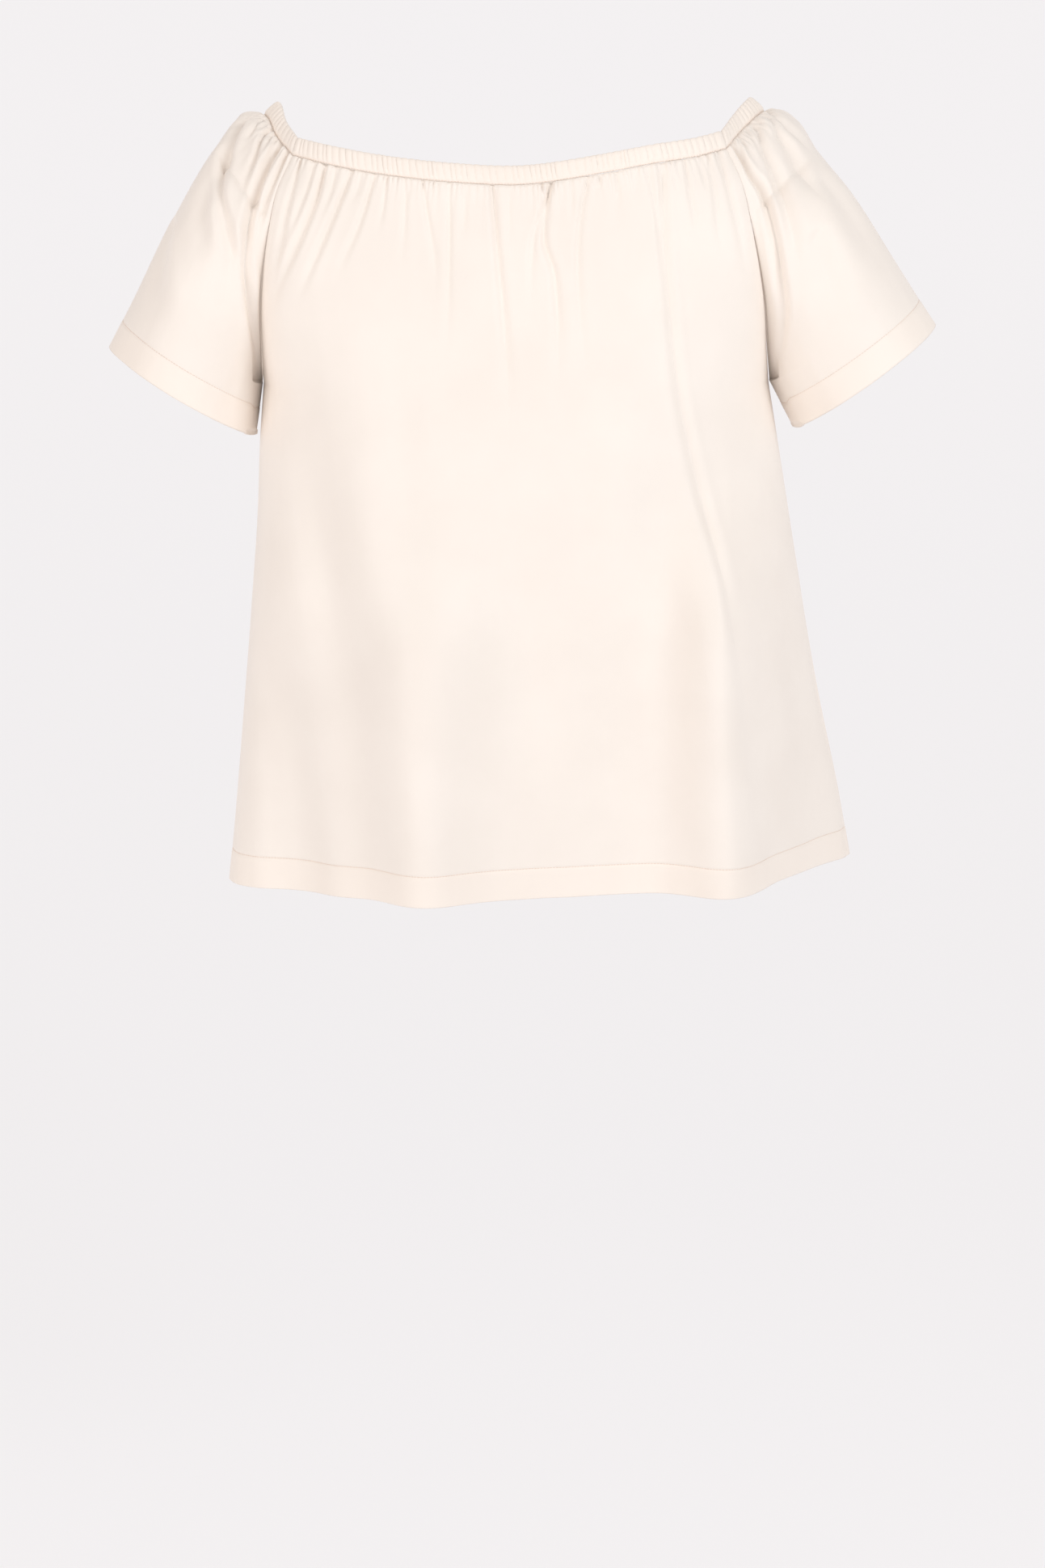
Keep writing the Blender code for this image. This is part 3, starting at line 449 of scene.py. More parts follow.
def soft_noise(u, v, seed):
    """Smooth random heights from -1 to 1: a random number at each whole u and v, eased between."""
    lattice = np.random.RandomState(seed).uniform(-1, 1, (64, 64))
    u0 = np.floor(u).astype(int)
    v0 = np.floor(v).astype(int)
    fu = ease(u - u0)
    fv = ease(v - v0)
    a = lattice[u0 % 64, v0 % 64]
    b = lattice[(u0 + 1) % 64, v0 % 64]
    c = lattice[u0 % 64, (v0 + 1) % 64]
    d = lattice[(u0 + 1) % 64, (v0 + 1) % 64]
    return (a * (1 - fu) + b * fu) * (1 - fv) + (c * (1 - fu) + d * fu) * fv


def surface_out(rows):
    """Unit normals of a grid: the cross product of its two directions."""
    down = np.gradient(rows, axis=0)
    across = np.gradient(rows, axis=1)
    return unit(np.cross(across, down))


# %% Where the ribs, columns and rows lie


def rib_edges(ribs, seed, flat_ends=0.0):
    """Where the gathers part along a neckline, as shares. No two ribs are quite as wide."""
    width = 1 + 0.34 * np.random.RandomState(seed).uniform(-1, 1, ribs)
    width[0] += flat_ends
    width[-1] += flat_ends
    return np.concatenate([[0.0], np.cumsum(width)]) / width.sum()


def rib_columns(edges, per_rib):
    """The columns of a panel: the same number in every rib, so that each valley has one."""
    start = np.repeat(edges[:-1], per_rib)
    width = np.repeat(np.diff(edges), per_rib)
    step = np.tile(np.arange(per_rib) / per_rib, len(edges) - 1)
    return np.append(start + width * step, 1.0)


def seam_columns(shares, row_length, steps=(0.0, 0.5, 1.1)):
    """Adds close columns at both ends for the roll of the seam, and keeps the count even."""
    close = np.array(steps) / row_length
    inner = shares[(shares > close[-1] * 1.6) & (shares < 1 - close[-1] * 1.6)]
    if (len(inner) + 2 * len(close)) % 2 == 0:
        inner = np.delete(inner, len(inner) // 2)
    return np.concatenate([close, inner, 1 - close[::-1]])


def hem_rows(total, hem, step):
    """Distances from the top to the hem in mm: even steps, and close ones at the stitching."""
    close = np.array([0, 0.7, 1.8, 4, 7.5, 11.5, 15.5, 19])
    near = hem + np.array([-3.4, -1.8, -0.9, -0.4, 0, 0.4, 0.9, 1.8, 3.4])
    up = np.concatenate([close[close < hem - 4], near])
    rest = total - up[-1]
    even = np.linspace(0, rest, max(2, int(round(rest / step))) + 1)[1:]
    return (total - np.concatenate([up, up[-1] + even]))[::-1]


# %% The body's form


def bow_row(left, right, calm_left, calm_right, stand, square, side):
    """A row from one side seam to the other that bows out, as a boxy half oval.

    The sine of the turn, raised to two over the squareness, times the depth. The oval hangs between
    the calmed seam points, and near its ends it goes over to the true ones."""
    turn = np.linspace(math.pi, 0, 401)
    across = 0.5 + 0.5 * signed_power(np.cos(turn), 2 / square)
    depth = stand - side * (calm_left[1] + calm_right[1]) / 2
    row = calm_left + (calm_right - calm_left) * across[:, None]
    row[:, 1] += side * np.sin(turn) ** (2 / square) * depth
    where = along(row)
    row += (left - calm_left) * (1 - ease(where / EDGE_SHARE))[:, None]
    row += (right - calm_right) * (1 - ease((1 - where) / EDGE_SHARE))[:, None]
    return row


def calm_seam(line, raglan, hand):
    """A seam's points with the sharp turn in under the arm evened out: the depth y is blurred along
    the height with a bell, most at the level of the arm."""
    top = run_through(raglan, np.linspace(0, 1, 161))[0]
    depths = column(SIDE_SEAMS, SIDE_COLUMNS, "z")
    below = np.linspace(depths[0] - 3, depths[-1], 161)
    side_y = smooth_run(-depths, column(SIDE_SEAMS, SIDE_COLUMNS, hand + "_y"), -below)
    heights = np.concatenate([top[:, 2] / MM, below])
    values = np.concatenate([top[:, 1] / MM, side_y])
    even = np.linspace(heights[0], heights[-1], 322)
    values = np.interp(-even, -heights, values)
    z = line[:, 2] / MM
    weight = np.exp(-((z[:, None] - even[None]) / CALM_REACH) ** 2)
    blurred = (weight * values).sum(axis=1) / weight.sum(axis=1)
    calm = line.copy()
    calm[:, 1] += (blurred * MM - line[:, 1]) * np.exp(-((z - ARM_LEVEL) / ARM_CALM) ** 2)
    return calm


def side_line(raglan, hand, raglan_shares, falls):
    """The raglan seam and the side seam under it as one line of points, and the way each faces."""
    top, top_face = run_through(raglan, raglan_shares)
    z = top[-1, 2] + (-HEM_DROP * MM - top[-1, 2]) * falls
    depths = column(SIDE_SEAMS, SIDE_COLUMNS, "z")
    x = smooth_run(-depths, column(SIDE_SEAMS, SIDE_COLUMNS, hand + "_x"), -z / MM) * MM
    y = smooth_run(-depths, column(SIDE_SEAMS, SIDE_COLUMNS, hand + "_y"), -z / MM) * MM
    reach = ease((depths[0] - z / MM) / 80.0)[:, None]
    outward = np.array([-1.0 if hand == "left" else 1.0, 0, 0])
    face = unit((1 - reach) * np.array([0, 0, -1.0]) + reach * outward)
    return np.concatenate([top, np.stack([x, y, z], axis=-1)]), np.concatenate([top_face, face])


def body_form(neck, raglan_left, raglan_right, side, raglan_shares, falls, shares):
    """The front (side -1) or the back (side 1) as a grid. The top row lies on the neckline, and the
    neckline's pull dies out over the upper half."""
    left, left_face = side_line(raglan_left, "left", raglan_shares, falls)
    right, right_face = side_line(raglan_right, "right", raglan_shares, falls)
    calm_left = calm_seam(left, raglan_left, "left")
    calm_right = calm_seam(right, raglan_right, "right")
    down = (left[0, 2] - left[:, 2]) / (left[0, 2] - left[-1, 2])
    word = "front" if side < 0 else "back"
    knots = column(BODY_SECTIONS, SECTION_COLUMNS, "down")
    stand = smooth_run(knots, column(BODY_SECTIONS, SECTION_COLUMNS, word), down) * MM
    square = smooth_run(knots, column(BODY_SECTIONS, SECTION_COLUMNS, word + "_square"), down)
    rows = np.stack([even_row(bow_row(*row, side), shares) for row in
                     zip(left, right, calm_left, calm_right, stand, square)])
    neck_points, neck_up = neck_line(neck, shares)
    shift = neck_points - rows[0]
    rows = rows + shift[None] * (1 - ease(down / NECK_PULL))[:, None, None]
    top = len(raglan_shares)
    rows[:top, 0] = left[:top]
    rows[:top, -1] = right[:top]
    return rows, neck_up, {"left": left_face, "right": right_face}


# %% Folds and gathers


def soft_bells(x, z, table):
    """Height of the troughs or swells in mm: each is its depth times e to the minus square of the
    distance from its line over its width. It eases in, and eases out unless it reaches the hem."""
    height = np.zeros_like(x)
    for x0, z0, x1, z1, x2, z2, width, depth in table:
        line = smooth_run((-z0, -z1, -z2), (x0, x1, x2), -z)
        reach = (z0 - z) / (z0 - z2)
        fade_out = ease((1 - reach) / 0.35 + (1.0 if z2 <= -HEM_DROP else 0.0))
        height += depth * np.exp(-((x - line) / width) ** 2) * ease(reach / 0.4) * fade_out
    return height


def narrow_folds(x, z, table):
    """Height of the narrow folds, in mm.

    Each fold is the sum of a bell, depth times e to the minus square of the distance over the
    width, a soft ridge on both sides that the pushed cloth makes, and a thin crease at the bottom.
    It fades in at its start and fades out at its end."""
    height = np.zeros_like(x)
    for x0, z0, x1, z1, x2, z2, width, depth, crease in table:
        off = x - smooth_run((-z0, -z1, -z2), (x0, x1, x2), -z)
        reach = (z0 - z) / (z0 - z2)
        down = np.clip(reach, 0, 1)
        fade = ease(reach / 0.10 + 0.75) * ease((1 - reach) / 0.45)
        bell = np.exp(-(off / width) ** 2)
        ridge = 0.30 * np.exp(-((np.abs(off) - 1.9 * width) / (0.9 * width)) ** 2)
        thin = np.exp(-(np.abs(off) / (1.15 + 1.5 * down)) ** 1.5)
        height -= depth * (bell - ridge) * fade
        height -= crease * thin * fade * (1 - 0.6 * down)
    return height


def hand_creases(across, down, table, mm_per_across):
    """Height of the listed creases, in mm.

    A crease is a trough, its depth times e to the minus square of the distance over the width, a
    ridge on both sides where the pushed cloth goes, and a thin line at the bottom. It starts at four
    fifths of its depth, soon has all of it, and fades out over its lower half."""
    height = np.zeros_like(across)
    for points, width, trough, line in table:
        spots = np.array(points, float)
        middle = smooth_run(spots[:, 1], spots[:, 0], down)
        off = (across - middle) * mm_per_across
        reach = (down - spots[0, 1]) / (spots[-1, 1] - spots[0, 1])
        fade = ease(reach / 0.12 + 0.7) * ease((1 - reach) / 0.55)
        wide = width * (0.75 + 0.7 * np.clip(reach, 0, 1))
        bell = np.exp(-(off / wide) ** 2) - 0.32 * np.exp(-((np.abs(off) - 2.0 * wide) / wide) ** 2)
        thin = np.exp(-(np.abs(off) / (1.2 + 1.6 * np.clip(reach, 0, 1))) ** 1.6)
        height -= (trough * bell + line * thin * (1 - 0.55 * np.clip(reach, 0, 1))) * fade
    return height


def gathers(shares, below, row_mm, edges, seed, puff, longest):
    """Height of the gathers under the casing, in mm.

    Between two stitches of the gathering the cloth stands out in a small puff, which grows flat
    within some millimetres. From each parting a crease runs down, each as long as chance gives."""
    draw = np.random.RandomState(seed)
    k = np.clip(np.searchsorted(edges, shares, side="right") - 1, 0, len(edges) - 2)
    phase = (shares - edges[k]) / (edges[k + 1] - edges[k])
    size = draw.uniform(0.5, 1.25, len(edges) - 1)[k]
    dome = (1 - np.abs(2 * phase - 1) ** 2.2) * size
    swell = ease(below / 1.6) * np.exp(-(below / 11.0) ** 1.2)
    height = puff * dome[None, :] * swell
    length = 5 + longest * draw.uniform(0, 1, len(edges)) ** 2.4
    depth = 0.35 + 0.75 * draw.uniform(0, 1, len(edges))
    drift = draw.normal(0, 0.05, len(edges))
    bend = draw.normal(0, 0.7, len(edges))
    for edge, reach, deep, lean, wave in zip(edges[1:-1], length[1:-1], depth[1:-1],
                                             drift[1:-1], bend[1:-1]):
        spot = below / reach
        band = (spot[:, 0] < 1.2) if spot.ndim > 1 else slice(None)
        s = spot[band]
        off = (shares[None, :] - edge) * row_mm[band][:, None]
        off = off - lean * below[band] - wave * np.sin(np.pi * np.clip(s, 0, 1))
        wide = 0.9 + 0.055 * below[band]
        run = np.clip(1 - s, 0, 1) ** 1.1
        crease = np.exp(-np.abs(off / wide) ** 1.6) - 0.35 * np.exp(-((np.abs(off) - 2.1 * wide) / wide) ** 2)
        height[band] -= deep * crease * run * ease(below[band] / 0.8 + 0.4)
    return height


def hem_lines(share, up, row_mm, hem, seed, pucker=0.16):
    """Height of the hem, in mm: the turned band stands up a little, the row of stitching pulls a
    groove along its top, and the cloth puckers on both sides of it."""
    band = 0.28 * ease((hem - up) / 2.5)
    groove = -0.42 * np.exp(-((up - hem) / 0.9) ** 2)
    along_mm = share * row_mm
    near = np.exp(-(np.abs(up - hem) / 5.0))
    ripple = soft_noise(along_mm / 4.2, up * 0 + 3.5, seed)
    ripple = ripple + 0.6 * soft_noise(along_mm / 9.0 + up / 30, up / 22, seed + 1)
    rim = 0.35 * soft_noise(along_mm / 26.0, up / 60, seed + 2) * ease((hem - up) / hem)
    return band + groove + pucker * ripple * near + rim


def seam_roll(shares, row_mm, depth=0.75, width=1.5):
    """Height of the roll into a seam, in mm: the edge of the panel dives to its seam allowance."""
    from_edge = np.minimum(shares, 1 - shares)[None, :] * row_mm[:, None]
    return -depth * np.exp(-(from_edge / width) ** 1.6)


# %% Closed shells


def part_edges(rows, faces_first, faces_last, top, away, around):
    """Moves each side edge half the gap off its seam: across the raglan, and around the body."""
    rows = rows.copy()
    upper = slice(0, top)
    lower = slice(top - 1, None)
    for edge, faces in ((0, faces_first), (-1, faces_last)):
        line = rows[:, edge].copy()
        step = np.zeros_like(line)
        square = np.cross(faces[upper], unit(np.gradient(line[upper], axis=0)))
        square *= np.sign(square @ np.array(away[edge], float))[:, None]
        step[upper] += unit(square)
        tangent = unit(np.gradient(line[lower], axis=0))
        wanted = np.array(around[edge], float)
        step[lower] += unit(wanted - (tangent @ wanted)[:, None] * tangent)
        rows[:, edge] = line + step * SEAM_GAP / 2
    return rows


def lowest_near(height):
    """The lowest height within two rows and two columns, so the inner skin clears every crease."""
    padded = np.pad(height, 2, mode="edge")
    size = height.shape
    low = height.copy()
    for i in range(5):
        for j in range(5):
            low = np.minimum(low, padded[i:i + size[0], j:j + size[1]])
    return low


def quads(a, b, c, d):
    """Four-sided faces as pairs of triangles."""
    first = np.stack([a, b, c], -1).reshape(-1, 3)
    second = np.stack([a, c, d], -1).reshape(-1, 3)
    return np.concatenate([first, second])


def edge_strip(fine, coarse):
    """Triangles between an edge of the outer skin and the half as fine edge of the inner one."""
    o0, o1, o2 = fine[:-2:2], fine[1:-1:2], fine[2::2]
    i0, i1 = coarse[:-1], coarse[1:]
    return np.concatenate([np.stack(t, -1) for t in ((o0, o1, i0), (o1, i1, i0), (o1, o2, i1))])


def shell(outer, inner):
    """A closed wall: the outer skin, an inner skin half as fine, and a strip along each edge."""
    height, width = outer.shape[:2]
    skin = np.arange(height * width).reshape(height, width)
    low_height, low_width = inner.shape[:2]
    back = height * width + np.arange(low_height * low_width).reshape(low_height, low_width)
    points = np.concatenate([outer.reshape(-1, 3), inner.reshape(-1, 3)])
    faces = [
        quads(skin[:-1, :-1], skin[1:, :-1], skin[1:, 1:], skin[:-1, 1:]),
        quads(back[:-1, :-1], back[:-1, 1:], back[1:, 1:], back[1:, :-1]),
        edge_strip(skin[:, 0], back[:, 0])[:, ::-1],
        edge_strip(skin[:, -1], back[:, -1]),
        edge_strip(skin[0], back[0]),
        edge_strip(skin[-1], back[-1])[:, ::-1],
    ]
    return points, np.concatenate(faces)


def make_mesh(name, points, triangles, material, uv=None, second=None, is_second=None):
    """An object at the origin, its faces turned outwards, shaded smooth. Faces with is_second set
    take the second material."""
    corners = points[triangles] - points.mean(axis=0)
    volume = (np.cross(corners[:, 0], corners[:, 1]) * corners[:, 2]).sum()
    if volume < 0:
        triangles = triangles[:, ::-1]
    mesh = bpy.data.meshes.new(name)
    mesh.vertices.add(len(points))
    mesh.vertices.foreach_set("co", np.ascontiguousarray(points, np.float32).ravel())
    mesh.loops.add(triangles.size)
    mesh.loops.foreach_set("vertex_index", np.ascontiguousarray(triangles, np.int32).ravel())
    mesh.polygons.add(len(triangles))
    mesh.polygons.foreach_set("loop_start", np.arange(0, triangles.size, 3, dtype=np.int32))
    mesh.update(calc_edges=True)
    if uv is not None:
        layer = mesh.uv_layers.new(name="cloth")
        layer.data.foreach_set("uv", uv[triangles.ravel()].astype(np.float32).ravel())
    mesh.materials.append(material)
    if second is not None:
        mesh.materials.append(second)
        mesh.polygons.foreach_set("material_index", is_second.astype(np.int32))
    mesh.shade_smooth()
    piece = bpy.data.objects.new(name, mesh)
    bpy.context.scene.collection.objects.link(piece)
    print(f"{name}: {len(triangles)} triangles, {np.ptp(points, axis=0).round(3).tolist()} m")
    return piece


def cloth_uv(outer, inner):
    """The cloth's own two lengths in metres, across and down, for the weave."""
    def lengths(grid):
        across = np.linalg.norm(np.diff(grid, axis=1, prepend=grid[:, :1]), axis=-1).cumsum(axis=1)
        down = np.linalg.norm(np.diff(grid, axis=0, prepend=grid[:1]), axis=-1).cumsum(axis=0)
        return np.stack([across - across[:, -1:] / 2, down], axis=-1).reshape(-1, 2)
    return np.concatenate([lengths(outer), lengths(inner)])


def finish_shell(name, rows, out, push, thickness, faces_first, faces_last, top, away, around, in_hem):
    """Pushes the form out and in by its heights, gives it a wall and makes the object. Faces whose
    corners are all in the hem take the look of doubled cloth."""
    grid = rows + out * push[..., None] * MM
    grid = part_edges(grid, faces_first, faces_last, top, away, around)
    low = (lowest_near(push) - push)[..., None] * MM
    wall = out.copy()
    wall[:, 0] = unit(faces_first)
    wall[:, -1] = unit(faces_last)
    low[:, 0] = 0
    low[:, -1] = 0
    inner = (grid + wall * (low - thickness[:, None, None]))[::2, ::2]
    points, triangles = shell(grid, inner)
    hem = np.concatenate([in_hem.ravel(), in_hem[::2, ::2].ravel()])[triangles].all(axis=1)
    piece = make_mesh(name, points, triangles, CLOTH_LOOK, cloth_uv(grid, inner), FOLDED_LOOK, hem)
    return piece, grid


# %% [markdown]
# ## Cloth and thread
#
# The cloth is a smooth light crepe. A diffuse blush with a little sheen gives the soft edges, and
# two scales of low bumps break the surface: the weave, and the slight unevenness of a worn cloth.
# Where it lies double, in the hems and the casing, less light comes through and it looks warmer.

# %% Materials


def socket_set(node, values):
    """Sets the named inputs of a node."""
    for name, value in values.items():
        node.inputs[name].default_value = value


def cloth_material(name, colour, shade, weave, roughness):
    """Blush cloth: its colour drifts a little between two shades, and bumps give the weave."""
    material = bpy.data.materials.new(name)
    material.use_nodes = True
    nodes = material.node_tree.nodes
    link = material.node_tree.links.new
    shader = nodes["Principled BSDF"]
    socket_set(shader, {"Roughness": roughness, "Specular IOR Level": 0.28, "Sheen Weight": 0.22,
                        "Sheen Roughness": 0.45, "Sheen Tint": (1.0, 0.95, 0.91, 1.0)})
    place = nodes.new("ShaderNodeTexCoord")
    drift = nodes.new("ShaderNodeTexNoise")
    socket_set(drift, {"Scale": 14.0, "Detail": 3.0, "Roughness": 0.5})
    link(place.outputs["Object"], drift.inputs["Vector"])
    ramp = nodes.new("ShaderNodeValToRGB")
    ramp.color_ramp.elements[0].position = 0.35
    ramp.color_ramp.elements[0].color = shade
    ramp.color_ramp.elements[1].position = 0.65
    ramp.color_ramp.elements[1].color = colour
    link(drift.outputs["Fac"], ramp.inputs["Fac"])
    link(ramp.outputs["Color"], shader.inputs["Base Color"])
    crepe = nodes.new("ShaderNodeTexNoise")
    socket_set(crepe, {"Scale": 900.0, "Detail": 2.0, "Roughness": 0.6})
    link(place.outputs["Object"], crepe.inputs["Vector"])
    worn = nodes.new("ShaderNodeTexNoise")
    socket_set(worn, {"Scale": 120.0, "Detail": 2.0, "Roughness": 0.5})
    link(place.outputs["Object"], worn.inputs["Vector"])
    fine = nodes.new("ShaderNodeBump")
    socket_set(fine, {"Strength": 0.25, "Distance": weave})
    link(crepe.outputs["Fac"], fine.inputs["Height"])
    broad = nodes.new("ShaderNodeBump")
    socket_set(broad, {"Strength": 0.25, "Distance": 0.0004})
    link(worn.outputs["Fac"], broad.inputs["Height"])
    link(fine.outputs["Normal"], broad.inputs["Normal"])
    link(broad.outputs["Normal"], shader.inputs["Normal"])
    return material


def thread_material(name, colour):
    """Matt sewing thread, warmer and darker than the cloth; part of its darkness is painted shade, standing
    in for the shadow in the stitched groove.
    """
    material = bpy.data.materials.new(name)
    material.use_nodes = True
    socket_set(material.node_tree.nodes["Principled BSDF"],
               {"Base Color": colour, "Roughness": 0.7, "Specular IOR Level": 0.2, "Sheen Weight": 0.2})
    return material


CLOTH_LOOK = cloth_material("blush_cloth_look", (0.930, 0.862, 0.800, 1.0), (0.905, 0.835, 0.772, 1.0),
                            0.00012, 0.56)
FOLDED_LOOK = cloth_material("blush_cloth_doubled", (0.948, 0.868, 0.796, 1.0), (0.925, 0.842, 0.770, 1.0),
                             0.00012, 0.56)
# The thread colour is darker than the cloth partly as painted shade: the shadow in the stitched groove is put
# into the thread's colour.
THREAD_AND_SHADE_LOOK = thread_material("blush_thread_and_shade_look", (0.84, 0.70, 0.61, 1.0))

# %% [markdown]
# ## Front and back
#
# Both are cut on the fold, wide at the hem and gathered along the top.

# %% Front and back


def row_lengths(rows):
    """The length of each row, in mm."""
    return np.linalg.norm(np.diff(rows, axis=1), axis=-1).sum(axis=1) / MM


def lengths_below(rows):
    """How far below the casing each point lies along its column, in mm."""
    return np.linalg.norm(np.diff(rows, axis=0, prepend=rows[:1]), axis=-1).cumsum(axis=0) / MM


def build_body(side, neck, raglan_left, raglan_right, edges, troughs, swells, narrow, creases, step, seed):
    """The front or back shell: its form, then its swells, folds, gathers, hem and seams."""
    word = "front" if side < 0 else "back"
    shares = seam_columns(rib_columns(edges, COLUMNS_PER_RIB[word]), BODY_ROW)
    fine = np.arange(FIRST_EVEN_ROW, FINE_ROWS_END, step)
    coarse = np.arange(FINE_ROWS_END, RAGLAN_LENGTH - 1, step * 1.8)
    raglan_shares = np.append(np.concatenate([CLOSE_ROWS, fine, coarse]) / RAGLAN_LENGTH, 1.0)
    side_total = HEM_DROP - UNDERARM_DROP
    falls = hem_rows(side_total, BODY_HEM, step * 2.9) / side_total
    falls = falls[falls > 1e-6]
    if (len(raglan_shares) + len(falls)) % 2 == 0:
        falls = np.delete(falls, 2)
    rows, neck_up, faces = body_form(neck, raglan_left, raglan_right, side, raglan_shares, falls, shares)
    edge = np.minimum(shares, 1 - shares) * CAD_COLUMNS[word]
    free = ease(edge / 2.0)[None]
    x, z = rows[..., 0] / MM, rows[..., 2] / MM
    rows[..., 1] += side * free * soft_bells(x, z, swells) * MM
    out = surface_out(rows)
    middle = rows.shape[1] // 2
    if out[len(out) // 2, middle, 1] * side < 0:
        out = -out
    neck_out = unit(np.cross(neck_up, np.gradient(rows[0], axis=0)))
    neck_out *= np.sign((neck_out * out[0]).sum(-1, keepdims=True))
    blend = ease(lengths_below(rows)[:, middle] / 12.0)[:, None, None]
    out = unit(out * blend + neck_out[None] * (1 - blend))
    x, z = rows[..., 0] / MM, rows[..., 2] / MM
    row_mm = row_lengths(rows)
    below = lengths_below(rows)
    push = -soft_bells(x, z, troughs) * free
    push += narrow_folds(x, z, narrow) * ease(edge / 0.5)[None]
    upside = [(tuple((a, -b) for a, b in points), *sizes) for points, *sizes in creases]
    push += hand_creases(x, -z, upside, 1.0) * ease(edge / 0.3)[None]
    push += gathers(shares, below, row_mm, edges, seed, **BODY_GATHERS) * ease(edge / 0.15)[None]
    across_mm = (shares[None, :] - 0.5) * row_mm[:, None]
    calm = ease(below / 60.0)
    push += (0.55 * soft_noise(across_mm / 21 + 9, below / 150, seed + 3)
             + 0.28 * soft_noise(across_mm / 8.5 + 5, below / 90, seed + 4) * (1 - 0.6 * calm)) * free
    up = (below[-1:] - below)
    push += hem_lines(shares[None, :], up, row_mm[:, None], BODY_HEM, seed + 6)
    push += seam_roll(shares, row_mm)
    push -= 0.5 * np.exp(-(below / 1.0) ** 2)
    thickness = np.where(up[:, middle] < BODY_HEM, HEM_CLOTH, CLOTH)
    piece, grid = finish_shell(word + "_cloth", rows, out, push, thickness, faces["left"], faces["right"],
                               len(raglan_shares), ((1, 0, 0), (-1, 0, 0)), ((0, side, 0), (0, side, 0)),
                               up < BODY_HEM + 0.2)
    return piece, grid


FRONT_EDGES = rib_edges(FRONT_RIBS, SEED, 0.5)
BACK_EDGES = rib_edges(BACK_RIBS, SEED + 1)
LEFT_EDGES = rib_edges(SLEEVE_RIBS, SEED + 2)
RIGHT_EDGES = rib_edges(SLEEVE_RIBS, SEED + 3)

front_cloth, front_grid = build_body(
    -1, NECK_FRONT, RAGLAN_FRONT_LEFT, RAGLAN_FRONT_RIGHT, FRONT_EDGES,
    FRONT_TROUGHS, FRONT_SWELLS, (), FRONT_CREASES, FRONT_ROW_STEP, FRONT_SEED)
back_cloth, back_grid = build_body(
    1, NECK_BACK[::-1], RAGLAN_BACK_LEFT, RAGLAN_BACK_RIGHT, BACK_EDGES,
    BACK_TROUGHS, BACK_SWELLS, BACK_NARROW, (), BACK_ROW_STEP, BACK_SEED)

# %% [markdown]
# ## Sleeves
#
# Each is one sheet rolled round the arm. Its edges meet in the short seam under the arm, and above
# it they are the raglan seams.

# %% Sleeves


def sleeve_form(hand, neck, raglan_front, raglan_back, sections, raglan_shares, falls, shares):
    """A sleeve as a grid, each row going from the front seam over the arm to the back.

    A row is part of a boxy oval between the outer edge and a line under the arm. Its ends are moved
    onto the seams, and the rest of the row follows less and less."""
    sign = -1 if hand == "left" else 1
    front, front_face = run_through(raglan_front, raglan_shares)
    back, back_face = run_through(raglan_back, raglan_shares)
    top = len(raglan_shares)
    tip = np.array(UNDERARM_END[hand]) * MM
    low = front[-1] + (tip - front[-1]) * falls[:, None]
    front = np.concatenate([front, low])
    back = np.concatenate([back, low])
    seam = np.cumsum(np.linalg.norm(np.diff(front, axis=0, prepend=front[:1]), axis=1))
    down = seam / seam[-1]
    knots = column(sections, SLEEVE_SECTION_COLUMNS, "down")

    def section(name):
        return smooth_run(knots, column(sections, SLEEVE_SECTION_COLUMNS, name), down)

    outer = np.stack([section("outer_" + axis) for axis in "xyz"], axis=-1) * MM
    front_out = section("front") * MM
    back_out = section("back") * MM
    square = section("square")
    core = np.array(SLEEVE_CORE_TOP[hand]) * MM
    core = core + (front[top - 1] - core) * np.clip(down / down[top - 1], 0, 1)[:, None]
    core[top - 1:] = front[top - 1:]
    rows = []
    for k in range(len(down)):
        power = 2 / square[k]
        begin = math.asin(min(1.0, abs(front[k, 1]) / front_out[k]) ** (1 / power))
        end = 2 * math.pi - math.asin(min(1.0, abs(back[k, 1]) / back_out[k]) ** (1 / power))
        turn = np.linspace(begin, end, 601)
        middle = (outer[k] + core[k]) / 2
        reach = (outer[k] - core[k]) / 2
        swing = signed_power(np.sin(turn), power)
        row = middle - signed_power(np.cos(turn), power)[:, None] * reach
        row[:, 1] -= np.where(swing > 0, front_out[k], back_out[k]) * swing
        row[:, 2] -= SLEEVE_FRONT_DIP * MM * np.clip(swing, 0, 1) * down[k]
        where = along(row)
        row += (front[k] - row[0]) * (1 - ease(where / 0.35))[:, None]
        row += (back[k] - row[-1]) * (1 - ease((1 - where) / 0.35))[:, None]
        for point in (front[k], back[k]):
            away = UNDERARM_SPREAD * np.minimum(np.abs(row[:, 1] - point[1]), UNDERARM_SPREAD_REACH * MM)
            near = np.sign(row[:, 1] - middle[1]) * np.sign(point[1] - middle[1] - 1e-6) >= 0
            least = sign * point[0] + away
            row[:, 0] = np.where(near, sign * np.maximum(sign * row[:, 0], least), row[:, 0])
        rows.append(even_row(row, shares))
    rows = np.stack(rows)
    neck_points, neck_up = neck_line(neck, shares)
    rows = rows + (neck_points - rows[0])[None] * (1 - ease(down / 0.4))[:, None, None]
    rows[:, 0] = front
    rows[:, -1] = back
    turn = ease(falls * 3)[:, None]
    under = unit((1 - turn) * np.array([0, 0, -1.0]) + turn * unit(np.array([-sign * 1.0, 0, -0.35])))
    faces = {"front": np.concatenate([front_face, under]), "back": np.concatenate([back_face, under])}
    return rows, neck_up, faces, down


